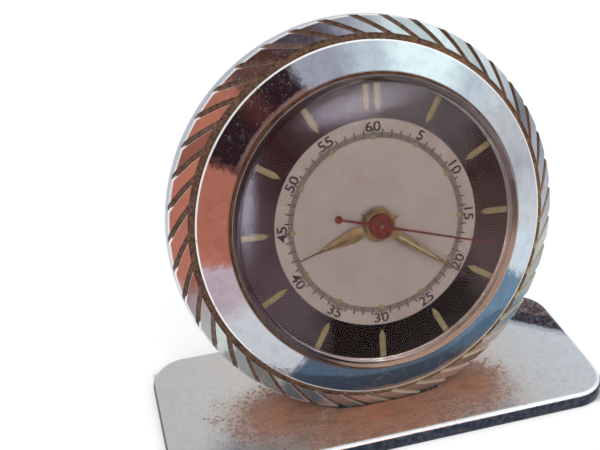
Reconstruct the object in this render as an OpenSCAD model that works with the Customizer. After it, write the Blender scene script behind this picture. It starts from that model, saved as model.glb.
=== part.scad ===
// Small tilted desk clock: a notched drum case on a pressed sheet base, wound and set from the back.
// Origin: middle of the box round the whole clock, on the table. X right, Y back, Z up, millimetres.
// The case and the movement are drawn in the case's own frame: X right, Y up the face, Z out of the face,
// with its origin in the middle of the circle where the notched chamfer meets the case wall.

/* [Base] */
// Width of the base
base_w = 72.4; // [68:0.1:80]
// Depth of the base
base_d = 29.2; // [27:0.1:34]
// Height of the base's top face above the table
base_h = 2.5; // [2.2:0.1:4]
// Corner radius of the base
base_r = 5.9; // [3:0.1:8]
// Thickness of the base's sheet
sheet_t = 0.8; // [0.6:0.05:1]
// Outer radius of the fold round the rim
fold_r = 1.1; // [1.05:0.05:1.6]
// Gap between the case's chamfer and the front edge of the slot
slot_gap = 1.1; // [0.6:0.1:2]
// Gap between the case wall and the ends of the slot
slot_side_gap = 1; // [0.5:0.1:2]
// Width of the tongue that carries the case
tongue_w = 19; // [16:0.5:21]
// Inner radius of the tongue's bend
bend_r = 0.5; // [0.3:0.05:0.8]
// Gap between the tongue's hollow edge and the drum
tongue_gap = 0.4; // [0.2:0.1:0.8]

/* [Placing] */
// Tilt of the face back from upright, in degrees
tilt = 18.7; // [15:0.1:21]
// Gap between the ring's lowest edge and the table
table_gap = 0.12; // [0.1:0.02:1.2]
// Distance of the case's front circle behind the middle of the base
axis_back = 4.1; // [3:0.1:5]

/* [Case ring] */
// Outer radius of the notched ring
ring_r = 31; // [30.6:0.1:31.2]
// Depth of the plain wall behind the chamfer
ring_back = 4.2; // [3:0.1:4.4]
// Width of the chamfer, across the face
chamfer_w = 2.7; // [2.5:0.1:2.9]
// Height of the chamfer from its outer to its inner edge
chamfer_up = 2; // [1.7:0.1:2.2]
// Number of slanting notches round the chamfer
notch_n = 41; // [30:1:48]
// Width of a notch
notch_w = 0.6; // [0.4:0.05:0.9]
// Depth of a notch
notch_d = 0.6; // [0.3:0.05:0.7]
// Turn round the chamfer from a notch's outer to its inner end, in degrees
notch_run = 10; // [6:0.5:12]
// Angle of the first notch's outer end, clockwise from the top, in degrees
notch_first = 0.9; // [0:0.1:8]
// Width of the trench between the chamfer and the bezel
trench_w = 0.9; // [0.6:0.1:1.2]
// Height of the seat that the bezel stands on
seat_up = 1.3; // [1:0.1:1.5]
// Wall thickness of the neck that the bezel grips
neck_t = 1.5; // [1.2:0.1:1.6]

/* [Bezel and crystal] */
// Width of the bezel's sloping face, across the face
bezel_w = 4.71; // [4.5:0.01:4.8]
// Wall thickness of the bezel round the neck
bezel_wall = 1.86; // [1.7:0.02:2]
// Height of the bezel's outer edge
bezel_edge = 2.7; // [2.6:0.1:2.9]
// Height of the bezel's inner edge
bezel_top = 5; // [4.9:0.1:5.4]
// Thickness of the crystal
crystal_t = 1.2; // [0.9:0.1:1.4]
// Height of the crystal's upright wall above its foot
crystal_wall = 1.85; // [1.7:0.05:2.4]
// Radius of the crystal's shoulder
crystal_shoulder = 1.2; // [1.2:0.1:1.5]
// Rise of the crystal's dome above its shoulder
dome_rise = 2.5; // [2.4:0.1:4]
// Thickness of the tension ring round the crystal
tension_t = 0.3; // [0.2:0.05:0.35]

/* [Drum] */
// Wall thickness of the drum
can_t = 0.8; // [0.7:0.05:0.9]
// Height of the drum's front edge inside the ring
can_front = 2.9; // [2.6:0.1:3]
// Depth of the drum's back edge
can_back = 9.6; // [9.3:0.1:11]
// Width of the inner step that carries the movement ring
can_step = 0.8; // [0.6:0.1:0.9]
// Thickness of the back cover
cover_t = 0.8; // [0.6:0.1:1.2]
// Length of the cover's skirt inside the drum
cover_skirt = 1.6; // [1:0.1:2]

/* [Dial] */
// Height of the dial's dark face
dial_face = 3.8; // [3.7:0.05:3.85]
// Thickness of the dial plate
dial_t = 0.3; // [0.2:0.05:0.35]
// Clockwise turn of the dial in the case, in degrees
dial_turn = 3; // [-5:0.5:5]
// Radius of the cream centre disc
centre_r = 15.8; // [14:0.1:16]
// Thickness of the cream centre disc
centre_t = 0.1; // [0.05:0.05:0.15]
// Gap between the hour markers' outer ends and the crystal's foot
marker_edge = 0.05; // [0.05:0.05:2]
// Length of an hour marker
marker_len = 4.5; // [3:0.1:4.6]
// Width of an hour marker
marker_w = 0.95; // [0.6:0.05:1.3]
// Length of a marker's pointed inner end
marker_point = 1; // [0.5:0.1:2]
// Gap between the two markers at twelve
marker_gap = 0.85; // [0.4:0.05:1.5]
// Height of the markers above the dial
marker_t = 0.15; // [0.1:0.05:0.25]
// Radius of the ring of small dots
dot_ring_r = 13.05; // [11:0.05:13.5]
// Radius of a small dot
dot_r = 0.42; // [0.3:0.02:0.6]
// Height of a small dot above the cream disc
dot_t = 0.15; // [0.1:0.05:0.2]

/* [Hands] */
// Clockwise angle of the hour hand from the top of the case
hour_angle = 254.1; // [0:0.1:360]
// Clockwise angle of the minute hand
minute_angle = 127.4; // [0:0.1:360]
// Clockwise angle of the seconds hand
second_angle = 107.6; // [0:0.1:360]
// Length of the hour hand
hour_len = 13; // [11:0.1:15]
// Greatest width of the hour hand
hour_w = 2.2; // [1.6:0.1:2.6]
// Length of the minute hand
minute_len = 17.5; // [15:0.1:19]
// Greatest width of the minute hand
minute_w = 1.6; // [1.2:0.1:2.2]
// Distance of a hand's widest place from the centre
hand_widest = 4.4; // [4:0.1:5.5]
// Length of a hand's pointed tail
hand_tail = 3.5; // [3:0.1:4.5]
// Thickness of the hands
hand_t = 0.15; // [0.1:0.01:0.2]
// Height of the hour hand
hour_z = 4.5; // [4.4:0.05:4.6]
// Height of the minute hand
minute_z = 5.1; // [5.05:0.05:5.15]
// Height of the seconds hand
second_z = 5.75; // [5.7:0.05:5.8]
// Length of the seconds hand
second_len = 18.75; // [16:0.05:19.5]
// Width of the seconds hand
second_w = 0.42; // [0.3:0.02:0.6]
// Distance of the seconds hand's counterweight from the centre
weight_at = 6.7; // [5:0.1:8]
// Radius of the counterweight
weight_r = 0.6; // [0.4:0.05:0.9]
// Radius of the red boss
boss_r = 1.9; // [1.5:0.1:2]
// Height of the red boss above the seconds hand
boss_h = 0.5; // [0.3:0.05:0.6]
// Radius of the hour hand's collar
hour_collar_r = 2.6; // [2.2:0.1:2.8]
// Radius of the minute hand's collar
minute_collar_r = 2.3; // [1.9:0.1:2.5]
// Height of the collars above the hands' undersides
collar_t = 0.25; // [0.2:0.01:0.3]

/* [Movement plates] */
// Width of the movement ring round the main plate
movement_ring_w = 1.6; // [1.3:0.05:1.7]
// Height of the main plate's front face
plate_z = 1.2; // [1.1:0.05:1.3]
// Thickness of each plate
plate_t = 1.2; // [1.15:0.05:1.25]
// Distance between the plates
cage_h = 6.2; // [6.2:0.05:6.4]
// Step from the main plate's radius to the back plate's
back_plate_in = 1.5; // [1.1:0.1:1.7]
// Radius of a pillar
pillar_r = 1.4; // [1.1:0.1:1.6]
// Distance of the pillars' middles from the back plate's edge
pillar_in = 1.6; // [1.5:0.1:1.8]
// Radius of the pivots
pivot_r = 0.2; // [0.15:0.01:0.25]
// Radius of the arbors between the plates
arbor_r = 0.3; // [0.27:0.01:0.32]
// Height of the movement ring's shelf under the main plate
shelf_h = 2; // [1.5:0.1:2.5]
// Width of the shelf
shelf_w = 0.6; // [0.4:0.05:0.65]

/* [Gears] */
// Module of the motion wheel and of what meshes with it
motion_m = 0.3; // [0.3:0.005:0.31]
// Module of the barrel's teeth
barrel_m = 0.24; // [0.23:0.005:0.245]
// Module of the second wheel's teeth
second_m = 0.2; // [0.19:0.005:0.205]
// Module of the third wheel's teeth
third_m = 0.18; // [0.175:0.005:0.185]
// Module of the fourth wheel's teeth
fourth_m = 0.18; // [0.175:0.005:0.185]
// Thickness of the train wheels
wheel_t = 0.3; // [0.25:0.05:0.4]
// Radius at the tips of the escape wheel
escape_r = 3.6; // [3.3:0.1:3.65]
// Radius of the balance wheel
balance_r = 6.2; // [5.6:0.1:6.25]
// Height of the balance wheel's rim
balance_h = 1; // [0.7:0.1:1.1]
// Radius of the ratchet wheel
ratchet_r = 5; // [4.6:0.1:5.1]

/* [Knobs] */
// Radius of the winding knob
wind_r = 4.6; // [3.5:0.1:5.5]
// Radius of the setting knob
set_r = 3; // [2.2:0.1:3.6]
// Height of both knobs
knob_h = 3.5; // [2.5:0.1:5]
// Gap between the cover and the knobs
knob_gap = 0.5; // [0.3:0.1:1]

/* [Fits] */
// Gap between a pivot or pipe and what it turns in
run_fit = 0.05; // [0.03:0.01:0.06]
// Gap between parts that are pressed or laid together
seat_fit = 0.02; // [0.01:0.01:0.04]
// Gap that keeps moving parts clear of each other
clear = 0.1; // [0.08:0.01:0.12]

/* [Hidden] */

// Smoothness of large and small round forms
fn_large = 128;
fn_small = 32;

// Colours of the metals and finishes
chrome_c = "lightsteelblue";
brass_c = "goldenrod";
steel_c = "slategray";
gold_c = "darkgoldenrod";
red_c = "firebrick";
lume_c = "khaki";

// Tooth counts of the train and of the motion work
barrel_n = 80;
second_pinion_n = 10;
second_n = 64;
third_pinion_n = 8;
third_n = 60;
fourth_pinion_n = 8;
fourth_n = 60;
escape_pinion_n = 6;
escape_n = 15;
motion_n = 64;
cannon_n = 8;
motion_pinion_n = 24;
hour_n = 36;
setting_n = 16;
ratchet_n = 30;

// Tooth forms: tip height and root depth in modules, then half widths at pitch, tip and root
// as shares of the tooth pitch
wheel_form = [0.9, 1.2, 0.21, 0.05, 0.24];
pinion_form = [0.5, 1.3, 0.17, 0.10, 0.12];

// Radii of the case, from the ring inwards
chamfer_in_r = ring_r - chamfer_w;
bezel_r = chamfer_in_r - trench_w;
bezel_in_r = bezel_r - bezel_w;
tension_out_r = bezel_in_r - seat_fit;
tension_in_r = tension_out_r - tension_t;
crystal_r = tension_in_r - seat_fit;
neck_r = bezel_r - bezel_wall - seat_fit;
bore_r = neck_r - neck_t;
can_r = bore_r - seat_fit;
can_in_r = can_r - can_t;
can_back_in_r = can_in_r - can_step;
movement_ring_r = can_in_r - run_fit;
plate_r = movement_ring_r - movement_ring_w - run_fit;
back_plate_r = plate_r - back_plate_in;
pillar_at = back_plate_r - pillar_in;
dial_r = can_in_r - clear;
marker_out = crystal_r - crystal_t - marker_edge;
edge_break = 0.15;

// Places of the arbors in the case's frame
barrel_dir = 135;
second_dir = 0;
escape_dir = -60;
lever_dir = 200;
setting_dir = -115;
lever_dist = 5.4;
balance_gap = 0.3;
balance_dist = balance_r + arbor_r + balance_gap;
function polar(r, a) = [r * cos(a), r * sin(a)];
function mesh_dist(m, a, b) = m * (a + b) / 2;
function dir_of(from, to) = atan2(to[1] - from[1], to[0] - from[0]);
centre_at = [0, 0];
centre_dist = mesh_dist(motion_m, motion_n, cannon_n);
hour_m = 2 * centre_dist / (motion_pinion_n + hour_n);
barrel_at = polar(centre_dist, barrel_dir);
second_at = barrel_at + polar(mesh_dist(barrel_m, barrel_n, second_pinion_n), second_dir);
third_arm = mesh_dist(third_m, third_n, fourth_pinion_n);
second_arm = mesh_dist(second_m, second_n, third_pinion_n);
second_off = norm(second_at);
third_corner = acos((third_arm ^ 2 + second_off ^ 2 - second_arm ^ 2) / (2 * third_arm * second_off));
third_at = polar(third_arm, dir_of(centre_at, second_at) - third_corner);
escape_at = polar(mesh_dist(fourth_m, fourth_n, escape_pinion_n), escape_dir);
lever_at = escape_at + polar(lever_dist, lever_dir);
balance_at = lever_at + polar(balance_dist, lever_dir);
setting_at = barrel_at + polar(mesh_dist(motion_m, motion_n, setting_n), setting_dir);

// Levels of the movement, counted out of the face from the case's front circle
plate_back = plate_z - plate_t;
cage_back = plate_back - cage_h;
bridge_back = cage_back - plate_t;
cover_front = -can_back;
cover_back = cover_front - cover_t;
knob_front = cover_back - knob_gap;
knob_back = knob_front - knob_h;
dial_back = dial_face - dial_t;
centre_face = dial_face + centre_t;
crystal_foot = dial_face + clear / 2;

// Levels of the wheels, each below the main plate by its own distance
barrel_drop = 0.3;
barrel_tooth_t = 0.6;
barrel_h = 3.6;
second_gap = 0.4;
third_drop = 1.6;
fourth_gap = 0.6;
lever_drop = 2.6;
escape_drop = 3.4;
roller_drop = 3.6;
balance_drop = 4.6;
lever_t = 0.3;
roller_t = 0.4;
pinion_side = 0.4;
barrel_front = plate_back - barrel_drop;
barrel_back = barrel_front - barrel_h;
second_wheel_z = barrel_back - second_gap;
third_wheel_z = plate_back - third_drop;
fourth_wheel_z = second_wheel_z - wheel_t - fourth_gap;
lever_z = plate_back - lever_drop;
escape_wheel_z = plate_back - escape_drop;
roller_z = plate_back - roller_drop;
balance_z = plate_back - balance_drop;

// Sizes that the wheels and arbors of the train share
wheel_hub_r = 1.4;
wheel_rim = 0.5;
spoke_w = 0.6;
pivot_len = 0.8;
collet_r = 0.7;
small_collet_r = 0.6;
collet_h = 0.3;

// Sizes of the barrel
drum_r = 9;
drum_t = 0.6;
lid_t = 0.5;
arbor_hub_r = 2.4;
arbor_shaft_r = 1.2;
set_shaft_r = 0.6;
set_collar_r = 0.75;
tube_core_r = 1;
tube_in_r = tube_core_r + run_fit;
tube_out_r = 1.7;
spring_turns = 7;
spring_t = 0.22;
spring_clear = 0.3;

// Sizes of the centre pipes
seconds_r = 0.3;
tube_r = 0.5;
tube_flange_t = 0.25;
cannon_pipe_r = 0.8;
hour_pipe_r = 1.2;
cannon_gap = 0.25;
cannon_t = 0.6;
hour_gap = 0.2;
cannon_z = plate_z + cannon_gap;
hour_wheel_z = cannon_z + cannon_t + hour_gap;
hour_wheel_t = 0.35;
hour_hub_r = 2;
hour_rim_r = 5.2;

// Distances from the centre at which the slots of the two hands begin and end
hour_slot = [5, 10.2];
minute_slot = [3.6, 11];

// Sizes of the hole and screw patterns
pillar_dirs = [60, 335, 275, 190];
dial_foot_dirs = [-20, 250];
dial_foot_in = 4.5;
dial_foot_r = 0.5;
dial_foot_depth = 0.6;
case_screw_x = 7;
screw_r = 0.65;
head_r = 1.2;
head_t = 0.7;
plate_screw_depth = 1.7;
case_screw_depth = 1.9;
driver_w = 0.3;
driver_d = 0.25;

// Sizes of the ratchet, its click and the click's wire spring; the teeth let the wheel turn anticlockwise
ratchet_t = 0.6;
ratchet_d = 0.5;
ratchet_lean = 0.15;
click_off = 1.8;
click_dir = 10;
click_reach = 28;
click_t = 0.5;
click_w = 0.5;
click_eye_r = 1.3;
wire_t = 0.35;
click_spring_foot = [3, 3];
click_spring_tip = [-0.73, 1.61];

// Sizes of the escapement and the balance
escape_root = 0.76;
escape_tooth = [0.05, 0.42, 0.55, 0.62];
escape_hub_r = 0.9;
pin_out = 0.5;
pin_spread = 40;
pin_r = 0.15;
lever_w = 0.7;
fork_w = 0.9;
fork_slot = 0.44;
fork_gap = 1.1;
fork_d = 0.9;
staff_r = 0.45;
staff_hub_r = 0.9;
staff_hub_h = 0.55;
rim_t = 0.7;
balance_arm_t = 0.3;
balance_arm_w = 0.6;
roller_r = 1.6;
impulse_at = 1.25;
spring_in_r = 1.1;
spring_out_r = 4.4;
spring_h = 0.3;
spring_strip = 0.12;
spring_coils = 8;
cock_t = 0.8;
cock_w = 4.6;
cock_reach = 8.4;
cock_screw_off = 1.5;
cock_foot_r = 1.6;
cock_boss_r = 1.5;
cock_boss_h = 0.5;
stud_r = 0.28;
stud_out = 0.36;
stud_arm_w = 1;
regulator_dir = 240;
regulator_len = 6;
regulator_t = 0.3;
regulator_w = 0.6;

// Sizes of the knobs
wind_flutes = 30;
set_flutes = 20;
flute_r = 0.35;
flute_out = 0.1;
knob_recess = 0.8;

// Sizes derived for the base and its slot
head_z = table_gap + ring_r * cos(tilt) + ring_back * sin(tilt);
// Distance behind the base's middle of a point in the case's frame
function case_y(yl, zl) = axis_back + yl * sin(tilt) - zl * cos(tilt);
// Distance of the base's middle in front of the middle of the whole clock
back_reach = case_y(barrel_at[1] + wind_r, knob_back);
base_y = (base_d / 2 - back_reach) / 2;
bend_zl = -ring_back - seat_fit - sheet_t - bend_r;
bend_yl = (base_h + bend_r - head_z - bend_zl * sin(tilt)) / cos(tilt);
bend_y = case_y(bend_yl, bend_zl);
bend_z = base_h + bend_r;
chamfer_k = chamfer_w / chamfer_up;
chamfer_d = (ring_r * cos(tilt) - head_z + base_h) / (chamfer_k * cos(tilt) + sin(tilt));
slot_front = case_y(chamfer_k * chamfer_d - ring_r, chamfer_d) - slot_gap;
// Half width at which a circle of the case passes through a level of the sheet
function half_chord(back, level) =
  sqrt(max(0, ring_r ^ 2 - ((head_z - back * sin(tilt) - level) / cos(tilt)) ^ 2));
slot_half_front = half_chord(0, base_h) + slot_side_gap / 2;
slot_half_back = half_chord(ring_back, base_h) + slot_side_gap;
slot_bend = case_y(-ring_r, -ring_back / 2);
tongue_in = 1.1;
tongue_top = tongue_in - can_r;
bend_steps = 8;
case_screw_out = 1.6;
case_screw_y = -can_r - case_screw_out;

// Places the case's frame on the base
module in_case() {
  translate([0, base_y + axis_back, head_z]) rotate([90 - tilt, 0, 0]) children();
}

// Ring between two radii and two levels
module ring(r_in, r_out, z_low, z_high, fn = fn_large) {
  rotate_extrude($fn = fn) translate([r_in, z_low]) square([r_out - r_in, z_high - z_low]);
}

// Round rod between two levels
module rod(r, z_low, z_high, fn = fn_small) {
  translate([0, 0, z_low]) cylinder(r = r, h = z_high - z_low, $fn = fn);
}

// Outline of a toothed wheel with one tooth on the X axis
module teeth(n, m, form) {
  pitch_r = n * m / 2;
  step = 360 / n;
  radii = [pitch_r - form[1] * m, pitch_r, pitch_r + form[0] * m];
  halves = [form[4], form[2], form[3]] * step;
  places = [[0, -1], [1, -1], [2, -1], [2, 1], [1, 1], [0, 1]];
  polygon([for (i = [0 : n - 1]) for (p = places) polar(radii[p[0]], i * step + p[1] * halves[p[0]])]);
}

// Spokes and rim left by windows cut in a wheel
module windows(r_hub, r_rim, spokes, w) {
  difference() {
    circle(r = r_rim, $fn = fn_large);
    circle(r = r_hub, $fn = fn_small);
    for (i = [0 : spokes - 1])
      rotate(i * 360 / spokes) translate([0, -w / 2]) square([r_rim + 1, w]);
  }
}

// Toothed wheel with spokes; a tooth points along toward
module wheel(n, m, toward, t, bore, spokes = 4) {
  rim = n * m / 2 - form_depth(m) - wheel_rim;
  rotate(toward) linear_extrude(t) difference() {
    teeth(n, m, wheel_form);
    windows(wheel_hub_r, rim, spokes, spoke_w);
    circle(r = bore, $fn = fn_small);
  }
}
function form_depth(m) = wheel_form[1] * m;

// Pinion with a gap facing along toward, drawn around its arbor
module pinion(n, m, toward, z_low, z_high) {
  translate([0, 0, z_low]) rotate(toward + 180 / n) linear_extrude(z_high - z_low)
    teeth(n, m, pinion_form);
}

// Arbor between the plates with its two pivots
module arbor() {
  rod(arbor_r, cage_back + clear, plate_back - clear);
  rod(pivot_r, cage_back - pivot_len, plate_back + pivot_len);
}

// Straight bar between two points with round ends that are a little wider than the bar
module bar(from, to, w) {
  for (p = [from, to])
    translate(p) circle(d = w + clear, $fn = fn_small);
  translate(from) rotate(dir_of(from, to)) translate([0, -w / 2]) square([norm(to - from), w]);
}

// Flat spiral strip from one radius to another
module spiral(r_in, r_out, turns, t, steps = 20) {
  total = turns * steps;
  function at(k, side) = polar(r_in + (r_out - r_in) * k / total + side * t / 2, k * 360 / steps);
  polygon(concat([for (k = [0 : total]) at(k, 1)], [for (k = [total : -1 : 0]) at(k, -1)]));
}

// Screw pointing along Z with its head's underside at zero
module screw(depth) {
  difference() {
    rod(head_r, -head_t, 0);
    translate([-head_r, -driver_w / 2, -head_t]) cube([2 * head_r, driver_w, driver_d]);
  }
  rod(screw_r, -head_t / 2, depth);
}

// Section of the base's sheet from a corner's middle out to its rim
module base_section() {
  fold_at = base_r - fold_r;
  translate([0, base_h - sheet_t]) square([fold_at, sheet_t]);
  translate([base_r - sheet_t, 0]) square([sheet_t, base_h - fold_r]);
  translate([fold_at, base_h - fold_r]) intersection() {
    difference() {
      circle(r = fold_r, $fn = fn_small);
      circle(r = fold_r - sheet_t, $fn = fn_small);
    }
    square(fold_r);
  }
}

// Pressed sheet with its turned down rim
module base_shell() {
  half_w = base_w / 2 - base_r;
  half_d = base_d / 2 - base_r;
  for (a = [0 : 3])
    translate([(a == 0 || a == 3 ? 1 : -1) * half_w, (a < 2 ? 1 : -1) * half_d])
      rotate(a * 90) rotate_extrude(angle = 90, $fn = fn_large) base_section();
  for (s = [0, 180]) {
    rotate(s) translate([half_w, half_d, 0]) rotate([90, 0, 0]) linear_extrude(2 * half_d) base_section();
    rotate(s) translate([-half_w, half_d, 0]) rotate([90, 0, 90]) linear_extrude(2 * half_w) base_section();
  }
  translate([-half_w, -half_d, base_h - sheet_t]) cube([2 * half_w, 2 * half_d, sheet_t]);
}

// Slot that the case dips into and that the tongue was cut from
module base_slot() {
  translate([0, 0, -1]) linear_extrude(base_h + 2) polygon([
    [-slot_half_front, slot_front], [slot_half_front, slot_front],
    [slot_half_back, slot_bend], [slot_half_back, bend_y],
    [-slot_half_back, bend_y], [-slot_half_back, slot_bend]]);
}

// Tongue that stands up behind the case ring: its side outline runs in the sheet, bends and leans back
module tongue() {
  turn = 90 + tilt;
  root = [bend_y, bend_z];
  out_r = bend_r + sheet_t;
  rise = (tongue_top - bend_yl) * [sin(tilt), cos(tilt)];
  function on_bend(r, k) = root + polar(r, 270 - turn * k / bend_steps);
  difference() {
    translate([-tongue_w / 2, 0, 0]) rotate([90, 0, 90]) linear_extrude(tongue_w) polygon(concat(
      [[bend_y + sheet_t, base_h - sheet_t]],
      [for (k = [0 : bend_steps]) on_bend(out_r, k)],
      [on_bend(out_r, bend_steps) + rise, on_bend(bend_r, bend_steps) + rise],
      [for (k = [bend_steps : -1 : 0]) on_bend(bend_r, k)],
      [[bend_y + sheet_t, base_h]]));
    translate([0, -base_y, 0]) in_case() {
      rod(can_r + tongue_gap, -can_back, 0, fn_large);
      for (x = [-case_screw_x, case_screw_x])
        translate([x, case_screw_y]) rod(screw_r + clear, -can_back, 0);
    }
  }
}

module base_plate() {
  color(chrome_c) translate([0, base_y, 0]) union() {
    difference() {
      base_shell();
      base_slot();
    }
    tongue();
  }
}

module case_screws() {
  color(steel_c) in_case()
    for (x = [-case_screw_x, case_screw_x])
      translate([x, case_screw_y, -ring_back - seat_fit - sheet_t]) screw(sheet_t + case_screw_depth);
}

// One slanting notch across the chamfer
module notch() {
  wide = ring_r - chamfer_in_r;
  slope = atan2(chamfer_up, wide);
  gen = norm([wide, chamfer_up]);
  mid_r = (ring_r + chamfer_in_r) / 2;
  across = mid_r * notch_run * PI / 180;
  past_out = 1.2;
  past_in = 0.3;
  len = norm([across, gen]);
  translate([0, mid_r, chamfer_up / 2]) rotate([-slope, 0, 0]) rotate(-atan2(gen, across))
    translate([-len / 2 - past_out, -notch_w / 2, -notch_d])
      cube([len + past_out + past_in, notch_w, notch_d + 1]);
}

module case_ring() {
  color(chrome_c) in_case() difference() {
    rotate_extrude($fn = fn_large) polygon([
      [bore_r, -ring_back], [ring_r - edge_break, -ring_back], [ring_r, -ring_back + edge_break],
      [ring_r, 0], [chamfer_in_r, chamfer_up], [chamfer_in_r, seat_up],
      [neck_r, seat_up], [neck_r, can_front], [bore_r, can_front]]);
    for (i = [0 : notch_n - 1])
      rotate(-notch_first - notch_run / 2 - i * 360 / notch_n) notch();
    for (x = [-case_screw_x, case_screw_x])
      translate([x, case_screw_y])
        rod(screw_r + seat_fit, -ring_back - 1, -ring_back + case_screw_depth + clear);
  }
}

module bezel() {
  under = can_front + seat_fit;
  lip_r = movement_ring_r + clear;
  color(chrome_c) in_case() rotate_extrude($fn = fn_large) polygon([
    [neck_r + seat_fit, seat_up], [bezel_r, seat_up], [bezel_r, bezel_edge - edge_break],
    [bezel_r - edge_break, bezel_edge], [bezel_in_r, bezel_top], [bezel_in_r, crystal_foot],
    [lip_r, crystal_foot], [lip_r, under], [neck_r + seat_fit, under]]);
}

module tension_ring() {
  color(brass_c) in_case() ring(tension_in_r, tension_out_r, crystal_foot, bezel_top + clear);
}

// Domed crystal: upright wall, rounded shoulder and a shallow dome
module crystal() {
  in_r = crystal_r - crystal_t;
  arc_r = crystal_r - crystal_shoulder;
  wall_top = crystal_foot + crystal_wall;
  lean = 90 - 2 * atan(dome_rise / arc_r);
  dome_r = arc_r / cos(lean) + crystal_shoulder;
  dome_z = wall_top - arc_r * tan(lean);
  in_dome_r = dome_r - crystal_t;
  in_lean = acos(in_r / in_dome_r);
  color("whitesmoke", 0.4) in_case() rotate_extrude($fn = fn_large) polygon(concat(
    [[in_r, crystal_foot], [crystal_r, crystal_foot]],
    [for (k = [0 : 6]) [arc_r, wall_top] + polar(crystal_shoulder, lean * k / 6)],
    [for (k = [1 : 10]) [0, dome_z] + polar(dome_r, lean + (90 - lean) * k / 10)],
    [for (k = [10 : -1 : 0]) [0, dome_z] + polar(in_dome_r, in_lean + (90 - in_lean) * k / 10)]));
}

module case_drum() {
  step_z = plate_back - shelf_h;
  color(chrome_c) in_case() rotate_extrude($fn = fn_large) polygon([
    [can_in_r, can_front], [can_r, can_front], [can_r, -can_back], [can_back_in_r, -can_back],
    [can_back_in_r, step_z], [can_in_r, step_z]]);
}

module back_cover() {
  skirt_r = can_back_in_r - seat_fit;
  skirt_t = 0.6;
  color(chrome_c) in_case() difference() {
    union() {
      rod(can_r, cover_back, cover_front, fn_large);
      ring(skirt_r - skirt_t, skirt_r, cover_front, cover_front + cover_skirt);
    }
    translate(barrel_at) rod(arbor_shaft_r + 5 * clear, cover_back - 1, cover_front + 1);
    translate(setting_at) rod(set_shaft_r + 4 * clear, cover_back - 1, cover_front + 1);
  }
}

module movement_ring() {
  color(brass_c) in_case() {
    ring(plate_r + run_fit, movement_ring_r, plate_back, dial_back);
    ring(plate_r - shelf_w, movement_ring_r, plate_back - shelf_h, plate_back);
  }
}

module dial_plate() {
  color("saddlebrown") in_case() difference() {
    union() {
      rod(dial_r, dial_back, dial_face, fn_large);
      for (a = dial_foot_dirs)
        translate(polar(plate_r - dial_foot_in, a)) rod(dial_foot_r, plate_z - dial_foot_depth, dial_back);
    }
    rod(hour_pipe_r + 2 * clear, dial_back - 1, dial_face + 1);
  }
}

module dial_centre() {
  color("antiquewhite") in_case() ring(hour_pipe_r + 2 * clear, centre_r, dial_face, centre_face);
}

// One marker with a square outer and a pointed inner end
module marker() {
  translate([0, marker_out - marker_len]) polygon([
    [0, 0], [marker_w / 2, marker_point], [marker_w / 2, marker_len],
    [-marker_w / 2, marker_len], [-marker_w / 2, marker_point]]);
}

module hour_markers() {
  pair = (marker_w + marker_gap) / 2;
  color(lume_c) in_case() translate([0, 0, dial_face]) rotate(-dial_turn) linear_extrude(marker_t) {
    for (i = [1 : 11])
      rotate(-i * 30) marker();
    for (x = [-pair, pair])
      translate([x, 0]) marker();
  }
}

module minute_dots() {
  color(lume_c) in_case() rotate(-dial_turn)
    for (i = [0 : 11])
      translate(polar(dot_ring_r, 90 - i * 30)) rod(dot_r, centre_face, centre_face + dot_t, 24);
}

// Leaf shaped hand along Y with a pointed tail and a slot
module leaf(len, w, bore, slot) {
  neck_w = w * 0.62;
  needle_w = 0.28;
  needle_from = len * 0.74;
  slot_w = 0.32;
  slot_len = slot[1] - slot[0];
  difference() {
    polygon([
      [0, -hand_tail], [neck_w / 2, -hand_tail / 2], [neck_w / 2, hand_tail / 2], [w / 2, hand_widest],
      [needle_w / 2, needle_from], [needle_w / 4, len], [-needle_w / 4, len], [-needle_w / 2, needle_from],
      [-w / 2, hand_widest], [-neck_w / 2, hand_tail / 2], [-neck_w / 2, -hand_tail / 2]]);
    circle(r = bore, $fn = fn_small);
    translate([0, slot[0]]) polygon([
      [-slot_w / 2, 0], [slot_w / 2, 0], [slot_w / 6, slot_len], [-slot_w / 6, slot_len]]);
  }
}

module hour_hand() {
  bore = hour_pipe_r + seat_fit;
  color(gold_c) in_case() {
    translate([0, 0, hour_z]) rotate(-hour_angle) linear_extrude(hand_t)
      leaf(hour_len, hour_w, bore, hour_slot);
    ring(bore, hour_collar_r, hour_z, hour_z + collar_t, fn_small);
  }
}

module minute_hand() {
  bore = cannon_pipe_r + seat_fit;
  color(gold_c) in_case() {
    translate([0, 0, minute_z]) rotate(-minute_angle) linear_extrude(hand_t)
      leaf(minute_len, minute_w, bore, minute_slot);
    ring(bore, minute_collar_r, minute_z, minute_z + collar_t, fn_small);
  }
}

module seconds_hand() {
  color(red_c) in_case() translate([0, 0, second_z]) rotate(-second_angle) linear_extrude(hand_t)
    difference() {
      union() {
        polygon([
          [-second_w / 2, 0], [second_w / 2, 0], [second_w / 4, second_len], [-second_w / 4, second_len]]);
        translate([-second_w / 2, -weight_at]) square([second_w, weight_at]);
        translate([0, -weight_at]) circle(r = weight_r, $fn = fn_small);
        circle(r = boss_r - clear, $fn = fn_small);
      }
      circle(r = seconds_r + seat_fit, $fn = fn_small);
    }
}

// Domed red boss that grips the seconds arbor on top of the hand
module seconds_boss() {
  low = second_z + hand_t;
  top = boss_h - hand_t;
  color(red_c) in_case() rotate_extrude($fn = fn_small) polygon(concat(
    [[seconds_r + seat_fit, low], [boss_r, low]],
    [for (k = [1 : 5]) [boss_r * cos(k * 15), low + top * sin(k * 15) / sin(75)]],
    [[seconds_r + seat_fit, low + top]]));
}

// Holes for the pivots of the train
module pivot_holes(z_low, z_high) {
  for (p = [second_at, third_at, escape_at, lever_at])
    translate(p) rod(pivot_r + run_fit / 2, z_low, z_high);
}

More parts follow.
